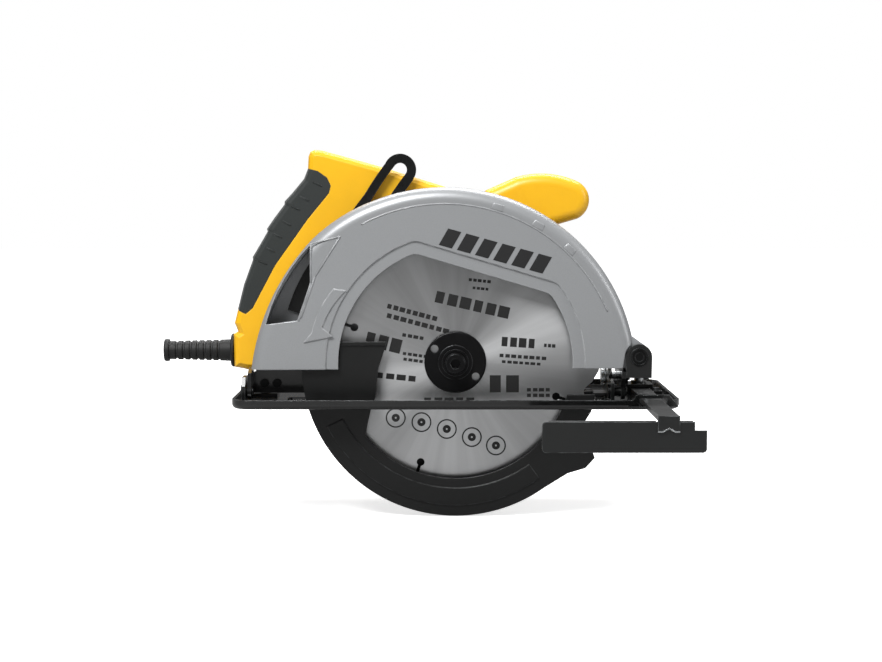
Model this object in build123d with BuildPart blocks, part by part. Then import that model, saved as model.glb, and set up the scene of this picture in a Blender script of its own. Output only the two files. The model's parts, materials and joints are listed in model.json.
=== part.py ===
"""Portable circular saw, modelled piece by piece.

Millimetres.  +X is the cutting direction, +Y points to the motor side, +Z is up.  The origin is
the centre of the shoe's underside.  Saw pieces are drawn on planes through the spindle: there the
local axes are "forward of the spindle" and "above the spindle", and distances across the saw are
counted from the middle of the blade.
"""
import os
from math import asin, cos, degrees, radians, sin

from build123d import *

os.makedirs("parts", exist_ok=True)

# ---------------------------------------------------------------- driving dimensions
BLADE_DIA = 185.0          # over the tooth tips
CUT_DEPTH = 65.5           # blade below the shoe at full depth
SHOE_LENGTH = 280.0
SHOE_WIDTH = 140.0
BLADE_Y = -35.0            # blade plane, to the right-hand side of the shoe's middle
MOTOR_DIA = 84.0           # outside of the motor housing
HANDLE_WIDTH = 34.0        # across the two handle shells
FENCE_LENGTH = 95.4
FENCE_REACH = 151.0        # from the saw's middle to the fence face

BLADE_R = BLADE_DIA / 2
SPINDLE_Z = BLADE_R - CUT_DEPTH

# blade and its clamping
PLATE_T = 1.6              # blade plate
KERF = 2.4                 # over the carbide tips
TEETH = 24
ARBOR_R = 7.94
FLANGE_R = 19.7
FLANGE_T = 4.0
BOLT_R = 4.0

# lower guard
GUARD_WALL = 1.8
GUARD_HALF = 9.5           # half its width across the saw
GUARD_R = BLADE_R + 5.0
GUARD_WINDOW_R = 73.5      # inner edge of its near ring
BAND_RAISE = 1.0
HUB_R = 18.0               # boss the lower guard turns on
HUB_FIT = 0.06
COLLAR_WALL = 3.5

# upper guard (casting)
CAST_WALL = 2.6
NEAR_FACE = -14.1          # near face of the casting
FAR_FACE = 12.5            # face the gear case sits on
RIM_ROUND = 8.0
OPENING_R = 74.0
OPENING_CHORD = 59.3       # spindle to the sloping top edge of the near opening
OPENING_TILT = 16.6
STEP_WIDTH = 7.8
STEP_DEPTH = 1.0
WINDOW_Y = -5.0            # how far the chip window reaches round the rim

# front pivot and depth guide
PIVOT_X = 116.0
PIVOT_DZ = 4.0             # above the spindle
PIVOT_BOSS_R = 7.6
PIVOT_HALF = 9.0           # half the width of the pivot boss
EYE_R = 8.2
PIN_R = 5.0
PIVOT_FIT = 0.05
EAR_T = 3.2
EAR_GAP = 0.4
SLOT_R = 192.0             # centre line of the depth slot about the front pivot
SLOT_HALF = 4.35
GUIDE_T = 2.5
GUIDE_Y = 13.2             # near face of the guide
LOCK_ANGLE = 176.0         # depth bolt seen from the front pivot, at full depth
DEPTH_TRAVEL = 34.0

# bevel
BEVEL_Z = 8.0              # height of the bevel axis above the shoe's underside
BEVEL_BOLT_R = 34.0
BEVEL_BOLT_ANGLE = 12.0
BEVEL_TRAVEL = 45.0
BEVEL_SLOT_HALF = 3.4
BEVEL_PIN_R = 3.0
PIN_FIT = 0.05
QUADRANT_X = 98.6
QUADRANT_T = 2.4
YOKE_X = 105.5
YOKE_T = 2.5
REAR_BRACKET_X = -135.6
REAR_T = 2.4
REAR_GAP = 1.0

# shoe
SHOE_T = 2.0
LIP_H = 6.0
SHOE_CORNER = 12.0
SLOT_REAR = -108.0
SLOT_FRONT = 98.0
SLOT_NEAR = -12.0          # from the blade plane
SLOT_FAR = 22.5

# gears and shafts
MODULE = 1.0
GEAR_TEETH = 40
PINION_TEETH = 9
GEAR_Y = 20.0
GEAR_WIDTH = 8.0
SPINDLE_R = 6.0
MOTOR_UP = MODULE * (GEAR_TEETH + PINION_TEETH) / 2
CASE_CLEAR = 1.0
CASE_WALL = 1.8

# motor
MOTOR_R = MOTOR_DIA / 2
BELL_R = MOTOR_R + 1.0
MOTOR_WALL = 2.4
CASE_SPLIT = 31.4          # gear case to gear case cover
MOTOR_Y = 50.0             # gear case cover to motor housing
MOTOR_END = 146.0
CAP_END = 158.0
FIELD_DEPTH = 17.3         # field core and coils, inside the housing wall
CORE_R = MOTOR_R - MOTOR_WALL - FIELD_DEPTH
AIR_GAP = 0.7
COMMUTATOR_R = 14.0
BRUSH_Y = 125.0
BRUSH_CAP_SINK = 2.0       # how far the brush caps sit inside the housing
FAN_CLEAR = 3.6            # fan to the inside of the housing

# handle
HANDLE_GAP = 3.3           # depth guide to the handle's near face
HANDLE_Y = GUIDE_Y + GUIDE_T + HANDLE_GAP + HANDLE_WIDTH / 2   # joint line of the two shells
HANDLE_WALL = 2.6
SOFTENING = ((3.5, 20.0), (2.0, 50.0))   # depth and slope of the rounded outer edges
MOTOR_CLEAR = 0.2
RUBBER_T = 1.8
TRIGGER_WIDTH = 12.0
TRIGGER_FIT = 0.4
CORD_HOLE_R = 3.6
LEVER_POCKET_Y = 25.5
LEVER_POCKET = (-88.0, 14.0, 56.0, 56.0)   # middle and size, seen from the side
LEVER_REACH = 32.0

# rip fence
BAR_X = 122.5
BAR_WIDTH = 12.0
BAR_H = 3.4
BAR_Z = 2.5
BAR_T = 1.6
SADDLE_Y = 18.0            # clamp screw
SADDLE_FIT = 0.5

# ---------------------------------------------------------------- planes and small helpers


def side(y):
    """Plane along the saw at y behind the blade: local x forward, local y up from the spindle."""
    return Plane(origin=(0, BLADE_Y + y, SPINDLE_Z), x_dir=(1, 0, 0), z_dir=(0, -1, 0))


def cross(x):
    """Plane across the saw at x: local x towards the motor, local y up, from the bevel axis."""
    return Plane(origin=(x, BLADE_Y, BEVEL_Z), x_dir=(0, 1, 0), z_dir=(1, 0, 0))


def across(y, x, dz):
    """Plane across the X axis at a point of the side view, looking forward."""
    return Plane(origin=(x, BLADE_Y + y, SPINDLE_Z + dz), x_dir=(0, 1, 0), z_dir=(1, 0, 0))


def brush_plane(turn, reach):
    """Plane across a brush at `reach` from the motor axis, on the side given by `turn` degrees."""
    return Plane(origin=(0, BLADE_Y + BRUSH_Y, SPINDLE_Z + MOTOR_UP), x_dir=(0, 1, 0),
                 z_dir=(cos(radians(turn)), 0, 0)).offset(reach)


def level(z, x=0.0, y=0.0):
    """Horizontal plane at height z above the shoe's underside."""
    return Plane(origin=(x, y, z), x_dir=(1, 0, 0), z_dir=(0, 0, 1))


def polar(r, angle, cx=0.0, cy=0.0):
    """Point at radius r and angle (degrees) from a centre."""
    return (cx + r * cos(radians(angle)), cy + r * sin(radians(angle)))


def ring_sector(r_in, r_out, a0, a1, cx=0.0, cy=0.0):
    """Flat ring sector between two angles."""
    mid = (a0 + a1) / 2
    with BuildSketch() as sector:
        with BuildLine():
            ThreePointArc(polar(r_in, a0, cx, cy), polar(r_in, mid, cx, cy), polar(r_in, a1, cx, cy))
            Line(polar(r_in, a1, cx, cy), polar(r_out, a1, cx, cy))
            ThreePointArc(polar(r_out, a1, cx, cy), polar(r_out, mid, cx, cy), polar(r_out, a0, cx, cy))
            Line(polar(r_out, a0, cx, cy), polar(r_in, a0, cx, cy))
        make_face()
    return sector.sketch


def polygon(*points):
    """Flat shape inside a closed outline of straight edges."""
    with BuildSketch() as shape:
        with BuildLine():
            Polyline(*points, close=True)
        make_face()
    return shape.sketch


def save(builder, name):
    """Label a finished piece and write its STEP file."""
    builder.part.label = name
    export_step(builder.part, f"parts/{name}.step")


def turned(name, sections, dz=0.0):
    """Round piece on an axis across the saw; sections are (y0, y1, outer r, inner r)."""
    with BuildPart() as piece:
        for y0, y1, r_out, r_in in sections:
            with BuildSketch(side(y1)):
                with Locations((0, dz)):
                    Circle(r_out)
                    if r_in:
                        Circle(r_in, mode=Mode.SUBTRACT)
            extrude(amount=y1 - y0)
    save(piece, name)
    return piece


def gear_outline(teeth, shift):
    """Closed list of points of a straight-sided gear with its first tooth at angle `shift`."""
    pitch = 360 / teeth
    r_pitch = MODULE * teeth / 2
    rows = ((r_pitch - 1.2 * MODULE, 0.34), (r_pitch, 0.225), (r_pitch + 0.9 * MODULE, 0.11))
    points = []
    for tooth in range(teeth):
        mid = shift + tooth * pitch
        points += [polar(r, mid - part * pitch) for r, part in rows]
        points += [polar(r, mid + part * pitch) for r, part in reversed(rows)]
    return points


# ---------------------------------------------------------------- shoe and what is fixed to it
slot_mid = (SLOT_REAR + SLOT_FRONT) / 2
with BuildPart() as shoe:
    with BuildSketch(level(0)):
        RectangleRounded(SHOE_LENGTH, SHOE_WIDTH, SHOE_CORNER)
    extrude(amount=LIP_H)
    fillet(shoe.edges().group_by(Axis.Z)[0], radius=3.0)
    with BuildSketch(level(SHOE_T)):
        RectangleRounded(SHOE_LENGTH - 2 * SHOE_T, SHOE_WIDTH - 2 * SHOE_T, SHOE_CORNER - SHOE_T)
    extrude(amount=LIP_H, mode=Mode.SUBTRACT)
    with BuildSketch(level(0)):
        with Locations((slot_mid, BLADE_Y + (SLOT_NEAR + SLOT_FAR) / 2)):
            RectangleRounded(SLOT_FRONT - SLOT_REAR, SLOT_FAR - SLOT_NEAR, 3.0)
    extrude(amount=LIP_H, mode=Mode.SUBTRACT)
    for edge_side in (-1, 1):
        lip = Plane(origin=(BAR_X, edge_side * (SHOE_WIDTH / 2 - SHOE_T), 0), x_dir=(1, 0, 0),
                    z_dir=(0, edge_side, 0))
        up = -edge_side
        with BuildSketch(lip):
            add(polygon((-16, up * SHOE_T), (16, up * SHOE_T), (10, up * (LIP_H + 3.5)),
                        (-10, up * (LIP_H + 3.5))))
        extrude(amount=SHOE_T)
        with BuildSketch(lip.offset(-1)):
            with Locations((0, up * 4.6)):
                Rectangle(BAR_WIDTH + 2 * SADDLE_FIT + 4, 5.2)
        extrude(amount=SHOE_T + 1, mode=Mode.SUBTRACT)
    with BuildSketch(level(SHOE_T)):
        with Locations((-10, 30), (-10, 52)):
            SlotOverall(190, 7)
    extrude(amount=0.9)
save(shoe, "shoe_plate")

bolt_y, bolt_dz = polar(BEVEL_BOLT_R, BEVEL_BOLT_ANGLE)
FOOT_RIVET_R = 2.0
SADDLE_RIVET_R = 1.6
RIVET_HEAD = 1.4           # how far a rivet head spreads past its shank
QUADRANT_RIVETS = [(QUADRANT_X - 11, BLADE_Y + 30), (QUADRANT_X - 11, BLADE_Y + 40)]
BRACKET_RIVETS = [(REAR_BRACKET_X + 12, BLADE_Y + 28), (REAR_BRACKET_X + 12, BLADE_Y + 36)]
with BuildPart() as quadrant:
    with BuildSketch(cross(QUADRANT_X)):
        add(polygon((-8, SHOE_T - BEVEL_Z), (46, SHOE_T - BEVEL_Z), (46, 8), (40, 22), (30, 33),
                    (16, 40), (14.5, 22), (14.5, 14), (6, 8), (-8, 6)))
        Circle(BEVEL_PIN_R, mode=Mode.SUBTRACT)
    extrude(amount=QUADRANT_T)
    with BuildSketch(cross(QUADRANT_X)):
        add(ring_sector(BEVEL_BOLT_R - BEVEL_SLOT_HALF, BEVEL_BOLT_R + BEVEL_SLOT_HALF,
                        BEVEL_BOLT_ANGLE - 7, BEVEL_BOLT_ANGLE + BEVEL_TRAVEL + 6.5))
    extrude(amount=QUADRANT_T, mode=Mode.SUBTRACT)
    with BuildSketch(level(SHOE_T)):
        with Locations((QUADRANT_X - 8, BLADE_Y + 35)):
            Rectangle(18, 20)
        with Locations(*QUADRANT_RIVETS):
            Circle(FOOT_RIVET_R, mode=Mode.SUBTRACT)
    extrude(amount=QUADRANT_T)
save(quadrant, "front_bevel_quadrant")

with BuildPart() as rear_bracket:
    with BuildSketch(cross(REAR_BRACKET_X)):
        add(polygon((-9, SHOE_T - BEVEL_Z), (40, SHOE_T - BEVEL_Z), (40, -2), (22, 0), (8, 9.7),
                    (-6, 9.7), (-9, 4)))
        Circle(BEVEL_PIN_R, mode=Mode.SUBTRACT)
    extrude(amount=REAR_T)
    with BuildSketch(level(SHOE_T)):
        with Locations((REAR_BRACKET_X + 10, BLADE_Y + 32)):
            Rectangle(20, 16)
        with Locations(*BRACKET_RIVETS):
            Circle(FOOT_RIVET_R, mode=Mode.SUBTRACT)
    extrude(amount=REAR_T)
save(rear_bracket, "rear_bevel_bracket")

rear_plate_x = REAR_BRACKET_X + REAR_T + REAR_GAP
with BuildPart() as bevel_pins:
    with BuildSketch(cross(QUADRANT_X - 1.6)):
        Circle(BEVEL_PIN_R + 1.6)
    extrude(amount=1.6)
    with BuildSketch(cross(QUADRANT_X)):
        Circle(BEVEL_PIN_R)
    extrude(amount=YOKE_X + YOKE_T + 1.0 - QUADRANT_X)
    with BuildSketch(cross(REAR_BRACKET_X - 1.0)):
        Circle(BEVEL_PIN_R + 1.6)
    extrude(amount=1.0)
    with BuildSketch(cross(REAR_BRACKET_X)):
        Circle(BEVEL_PIN_R)
    extrude(amount=rear_plate_x + REAR_T + 1.0 - REAR_BRACKET_X)
save(bevel_pins, "bevel_pivot_pins")

saddle_top = BAR_Z + BAR_H + SADDLE_FIT
saddle_half = BAR_WIDTH / 2 + SADDLE_FIT
SADDLE_RIVETS = [(BAR_X - saddle_half - 5.5, SADDLE_Y), (BAR_X + saddle_half + 5, SADDLE_Y)]
SADDLE_T = 2.0
SADDLE_LENGTH = 22.0
CLAMP_R = 3.0
with BuildPart() as saddle:
    with BuildSketch(Plane(origin=(BAR_X, SADDLE_Y + SADDLE_LENGTH / 2, 0), x_dir=(1, 0, 0),
                           z_dir=(0, -1, 0))):
        add(polygon((-saddle_half - 9, SHOE_T), (-saddle_half, SHOE_T), (-saddle_half, saddle_top),
                    (saddle_half, saddle_top), (saddle_half, SHOE_T), (saddle_half + 8, SHOE_T),
                    (saddle_half + 8, SHOE_T + SADDLE_T), (saddle_half + SADDLE_T, SHOE_T + SADDLE_T),
                    (saddle_half + SADDLE_T, saddle_top + SADDLE_T),
                    (-saddle_half - SADDLE_T, saddle_top + SADDLE_T),
                    (-saddle_half - SADDLE_T, SHOE_T + SADDLE_T),
                    (-saddle_half - 9, SHOE_T + SADDLE_T)))
    extrude(amount=SADDLE_LENGTH)
    with BuildSketch(level(saddle_top + SADDLE_T, BAR_X, SADDLE_Y)):
        Circle(CLAMP_R + 2.2)
    extrude(amount=1.6)
    with BuildSketch(level(saddle_top, BAR_X, SADDLE_Y)):
        Circle(CLAMP_R + PIN_FIT)
    extrude(amount=SADDLE_T + 2, mode=Mode.SUBTRACT)
    with BuildSketch(level(SHOE_T)):
        with Locations(*SADDLE_RIVETS):
            Circle(SADDLE_RIVET_R)
    extrude(amount=SADDLE_T, mode=Mode.SUBTRACT)
save(saddle, "fence_saddle")

with BuildPart() as shoe_rivets:
    for places, foot_t, rivet_r in ((QUADRANT_RIVETS, QUADRANT_T, FOOT_RIVET_R),
                                    (BRACKET_RIVETS, REAR_T, FOOT_RIVET_R),
                                    (SADDLE_RIVETS, SADDLE_T, SADDLE_RIVET_R)):
        with BuildSketch(level(SHOE_T)):
            with Locations(*places):
                Circle(rivet_r)
        extrude(amount=foot_t)
        with BuildSketch(level(SHOE_T + foot_t)):
            with Locations(*places):
                Circle(rivet_r + RIVET_HEAD)
        extrude(amount=1.3, taper=30)
save(shoe_rivets, "shoe_rivets")

# ---------------------------------------------------------------- rip fence and its clamp
FENCE_T = 1.8
FENCE_TOP = 2.3
FENCE_H = 18.0
fence_face = -FENCE_REACH
fence_x0 = BAR_X + 22.2 - FENCE_LENGTH
BAR_LENGTH = 205.0
with BuildPart() as fence_bar:
    with BuildSketch(Plane(origin=(BAR_X, fence_face + FENCE_T, 0), x_dir=(-1, 0, 0),
                           z_dir=(0, 1, 0))):
        with Locations((0, BAR_Z + BAR_H / 2)):
            Rectangle(BAR_WIDTH, BAR_H)
        with Locations((0, BAR_Z + BAR_H / 2 - BAR_T)):
            Rectangle(BAR_WIDTH - 2 * BAR_T, BAR_H, mode=Mode.SUBTRACT)
    extrude(amount=BAR_LENGTH)
    with BuildSketch(level(BAR_Z, BAR_X, fence_face + FENCE_T)):
        with Locations((0, 5)):
            Rectangle(BAR_WIDTH, 10)
    extrude(amount=BAR_H)
    # end of the bar bent down over the face of the plate
    with BuildSketch(Plane(origin=(BAR_X, fence_face + FENCE_T, 0), x_dir=(1, 0, 0), z_dir=(0, -1, 0))):
        with Locations((0, (BAR_Z + BAR_H + FENCE_TOP) / 2)):
            Rectangle(BAR_WIDTH + 0.8, BAR_Z + BAR_H - FENCE_TOP)
    extrude(amount=FENCE_T + 1.4)
    with BuildSketch(Plane(origin=(BAR_X, fence_face, 0), x_dir=(1, 0, 0), z_dir=(0, -1, 0))):
        add(polygon((-6.4, 5.0), (6.4, 5.0), (6.4, -3.7), (3.5, -3.7), (0, -1.8), (-3.5, -3.7),
                    (-6.4, -3.7)))
    extrude(amount=1.4)
save(fence_bar, "fence_bar")

with BuildPart() as fence_plate:
    plate_middle = (fence_x0 + FENCE_LENGTH / 2, fence_face + FENCE_T, FENCE_TOP - FENCE_H / 2)
    with BuildSketch(Plane(origin=plate_middle, x_dir=(1, 0, 0), z_dir=(0, -1, 0))):
        RectangleRounded(FENCE_LENGTH, FENCE_H, 2.4)
        with Locations((FENCE_LENGTH / 2, FENCE_H / 2)):
            Rectangle(14, 10, mode=Mode.SUBTRACT)
    extrude(amount=FENCE_T)
    bar_left, bar_right = BAR_X - BAR_WIDTH / 2, BAR_X + BAR_WIDTH / 2
    for fold_x0, fold_x1 in ((fence_x0 + 4, bar_left - 1), (bar_right + 0.6, BAR_X + 14.5)):
        with BuildSketch(level(FENCE_TOP - FENCE_T, (fold_x0 + fold_x1) / 2, fence_face + FENCE_T)):
            with Locations((0, 2.5)):
                Rectangle(fold_x1 - fold_x0, 5)
        extrude(amount=FENCE_T)
save(fence_plate, "fence_plate")

KNOB_Z = 17.7
with BuildPart() as clamp_screw:
    with BuildSketch(level(BAR_Z + BAR_H + 0.1, BAR_X, SADDLE_Y)):
        Circle(CLAMP_R)
    extrude(amount=KNOB_Z + 6 - BAR_Z - BAR_H)
    with BuildSketch(level(KNOB_Z - 4.4, BAR_X, SADDLE_Y)):
        Circle(8.4)
    extrude(amount=4.4)
    fillet(clamp_screw.edges().filter_by(GeomType.CIRCLE).sort_by(Axis.Z)[2:4], radius=1.2)
save(clamp_screw, "fence_clamp_screw")

with BuildPart() as clamp_knob:
    with BuildSketch(level(KNOB_Z, BAR_X, SADDLE_Y)):
        Circle(8.8)
        with PolarLocations(9.6, 8):
            Circle(1.7, mode=Mode.SUBTRACT)
        Circle(CLAMP_R, mode=Mode.SUBTRACT)
    extrude(amount=10.6)
    with BuildSketch(level(KNOB_Z + 6.2, BAR_X, SADDLE_Y)):
        Circle(7.4)
    extrude(amount=4.2)
save(clamp_knob, "fence_clamp_knob")

# ---------------------------------------------------------------- tilting frame
eye_dz = SPINDLE_Z + PIVOT_DZ - BEVEL_Z
ear_in = PIVOT_HALF + EAR_GAP
block_z0, block_z1 = 17.8 - BEVEL_Z, 21.3 - BEVEL_Z
SLIDE_FIT = 0.4            # bolts in their curved slots
bevel_shank_r = BEVEL_SLOT_HALF - SLIDE_FIT
stud_r = SLOT_HALF - SLIDE_FIT
with BuildPart() as yoke:
    with BuildSketch(cross(YOKE_X)):
        Circle(5.0)
        add(polygon((-5, 0), (-5, 3), (-9, 9), (-9, block_z1), (9, block_z1), (30, block_z1),
                    (41, 12), (41, 3), (34, 1.5), (5, 0)))
        Circle(BEVEL_PIN_R + PIN_FIT, mode=Mode.SUBTRACT)
        with Locations((bolt_y, bolt_dz)):
            Circle(bevel_shank_r, mode=Mode.SUBTRACT)
    extrude(amount=YOKE_T)
    with BuildSketch(level(block_z0 + BEVEL_Z)):
        with Locations(((YOKE_X + YOKE_T + PIVOT_X + 8) / 2, BLADE_Y)):
            Rectangle(PIVOT_X + 8 - YOKE_X - YOKE_T, 2 * (ear_in + EAR_T))
    extrude(amount=block_z1 - block_z0)
    for ear_y1 in (-ear_in, ear_in + EAR_T):
        with BuildSketch(side(ear_y1)):
            with Locations((PIVOT_X, PIVOT_DZ)):
                Circle(EYE_R)
            add(polygon((PIVOT_X - EYE_R, PIVOT_DZ), (PIVOT_X + EYE_R, PIVOT_DZ),
                        (PIVOT_X + 8, block_z0 + BEVEL_Z - SPINDLE_Z),
                        (YOKE_X + YOKE_T, block_z0 + BEVEL_Z - SPINDLE_Z)))
            with Locations((PIVOT_X, PIVOT_DZ)):
                Circle(PIN_R, mode=Mode.SUBTRACT)
        extrude(amount=EAR_T)
save(yoke, "front_tilt_yoke")

with BuildPart() as pivot_pin:
    with BuildSketch(side(ear_in + EAR_T)):
        with Locations((PIVOT_X, PIVOT_DZ)):
            Circle(PIN_R)
    extrude(amount=2 * (ear_in + EAR_T))
    with BuildSketch(side(-ear_in - EAR_T)):
        with Locations((PIVOT_X, PIVOT_DZ)):
            Circle(PIN_R + 0.9)
    extrude(amount=1.2)
    with BuildSketch(side(ear_in + EAR_T + 2.4)):
        with Locations((PIVOT_X, PIVOT_DZ)):
            Circle(PIN_R + 2.0)
    extrude(amount=2.4)
save(pivot_pin, "front_pivot_pin")

guide_foot = 5.8 - SPINDLE_Z
slot_top = LOCK_ANGLE - DEPTH_TRAVEL
slot_low = LOCK_ANGLE + 1.6
guide_in, guide_out = SLOT_R - 10.6, SLOT_R + 10.0
foot_rear = rear_plate_x + REAR_T
GUIDE_RIVET_R = 1.6
GUIDE_RIVETS = [(foot_rear + 7, -15), (foot_rear + 15, -15)]
with BuildPart() as depth_guide:
    with BuildSketch(side(GUIDE_Y + GUIDE_T)):
        add(ring_sector(guide_in, guide_out, slot_top, 187.0, PIVOT_X, PIVOT_DZ))
        with Locations(polar(SLOT_R, slot_top, PIVOT_X, PIVOT_DZ)):
            Circle((guide_out - guide_in) / 2)
        add(ring_sector(guide_out - 4, guide_out + 8, 160.0, 187.0, PIVOT_X, PIVOT_DZ))
        add(polygon(*(polar(guide_out + grow, angle, PIVOT_X, PIVOT_DZ)
                      for grow, angle in ((-1, 146.0), (8, 160.0), (-3, 161.0), (-3, 152.0)))))
        add(polygon((foot_rear, guide_foot), (-66, guide_foot), (-66, -4), (-86, 40), (-96, 24),
                    (foot_rear, -8)))
        add(ring_sector(SLOT_R - SLOT_HALF, SLOT_R + SLOT_HALF, slot_top, slot_low, PIVOT_X, PIVOT_DZ))
    extrude(amount=GUIDE_T)
    with BuildSketch(side(GUIDE_Y + GUIDE_T)):
        add(ring_sector(SLOT_R - SLOT_HALF, SLOT_R + SLOT_HALF, slot_top, slot_low, PIVOT_X, PIVOT_DZ))
        for slot_end in (slot_top, slot_low):
            with Locations(polar(SLOT_R, slot_end, PIVOT_X, PIVOT_DZ)):
                Circle(SLOT_HALF)
        with Locations(*GUIDE_RIVETS):
            Circle(GUIDE_RIVET_R)
    extrude(amount=GUIDE_T, mode=Mode.SUBTRACT)
save(depth_guide, "depth_guide")

guide_back = GUIDE_Y + GUIDE_T
with BuildPart() as rear_tilt:
    with BuildSketch(cross(rear_plate_x)):
        Circle(5.0)
        add(polygon((-5, 0), (-3, 12), (8, 15), (guide_back + REAR_T, 11),
                    (guide_back + REAR_T, guide_foot + 19), (5, 0)))
        Circle(BEVEL_PIN_R + PIN_FIT, mode=Mode.SUBTRACT)
    extrude(amount=REAR_T)
    with BuildSketch(side(guide_back + REAR_T)):
        add(polygon((rear_plate_x, guide_foot), (foot_rear + 19, guide_foot), (foot_rear + 19, -12),
                    (rear_plate_x, -9)))
        with Locations(*GUIDE_RIVETS):
            Circle(GUIDE_RIVET_R, mode=Mode.SUBTRACT)
    extrude(amount=REAR_T)
save(rear_tilt, "rear_tilt_plate")

with BuildPart() as guide_rivets:
    foot_back = guide_back + REAR_T
    for y0, y1, r in ((GUIDE_Y, foot_back, GUIDE_RIVET_R),
                      (foot_back, foot_back + 1.2, GUIDE_RIVET_R + RIVET_HEAD),
                      (GUIDE_Y - 0.9, GUIDE_Y, GUIDE_RIVET_R + RIVET_HEAD)):
        with BuildSketch(side(y1)):
            with Locations(*GUIDE_RIVETS):
                Circle(r)
        extrude(amount=y1 - y0)
save(guide_rivets, "guide_rivets")

bevel_bolt_head = QUADRANT_X - 3.0
BOLT_HEAD_T = 2.6
with BuildPart() as bevel_bolt:
    with BuildSketch(cross(bevel_bolt_head)):
        with Locations((bolt_y, bolt_dz)):
            Circle(BEVEL_SLOT_HALF + 2.2)
    extrude(amount=BOLT_HEAD_T)
    with BuildSketch(cross(bevel_bolt_head + BOLT_HEAD_T)):
        with Locations((bolt_y, bolt_dz)):
            Circle(bevel_shank_r)
    extrude(amount=YOKE_X + YOKE_T + 6.6 - bevel_bolt_head - BOLT_HEAD_T)
save(bevel_bolt, "bevel_clamp_bolt")

lever_x = YOKE_X + YOKE_T + 0.6
with BuildPart() as bevel_lever:
    with BuildSketch(cross(lever_x)):
        with Locations((bolt_y, bolt_dz)):
            Circle(7.0)
        add(polygon((bolt_y, bolt_dz - 4.5), (bolt_y + 30, bolt_dz + 2), (bolt_y + 30, bolt_dz + 9),
                    (bolt_y, bolt_dz + 6)))
        with Locations((bolt_y + 30, bolt_dz + 5.5)):
            Circle(3.5)
        with Locations((bolt_y, bolt_dz)):
            Circle(bevel_shank_r + PIN_FIT, mode=Mode.SUBTRACT)
    extrude(amount=4.4)
save(bevel_lever, "bevel_lock_lever")

# ---------------------------------------------------------------- upper guard casting
skirt_z = -4.0
pivot_edge = PIVOT_X - 4.2
CASE_SCREWS = [(33.5, 30.4), (-33.5, 30.4), (20, 52), (-20, 52)]
CASE_SCREW_R = 2.1


def guard_outline(inset=0.0):
    """Outline of the casting seen from the side, drawn in by `inset`."""
    with BuildSketch() as outline:
        with BuildLine():
            ThreePointArc((-129.3, skirt_z), (-117.5, 38.0), (-90.2, 78.4))
            ThreePointArc((-90.2, 78.4), (-70.9, 93.2), (-50.4, 103.0))
            ThreePointArc((-50.4, 103.0), (37.7, 102.6), (pivot_edge, 17.0))
            Polyline((pivot_edge, 17.0), (107.5, skirt_z + 1), (-129.3, skirt_z))
        make_face()
        if inset:
            offset(amount=-inset, kind=Kind.INTERSECTION)
    return outline.sketch


def near_opening(grow=0.0):
    """Opening in the near wall, larger all round by `grow`."""
    with BuildSketch() as opening:
        Circle(OPENING_R + grow)
        with Locations(Rot(0, 0, -OPENING_TILT) * Pos(0, OPENING_CHORD + grow)):
            Rectangle(400, 200, align=(Align.CENTER, Align.MIN), mode=Mode.SUBTRACT)
        fillet(opening.vertices(), radius=9.0)
        Rectangle(2 * (OPENING_R + grow), 120, align=(Align.CENTER, Align.MAX))
    return opening.sketch


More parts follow.
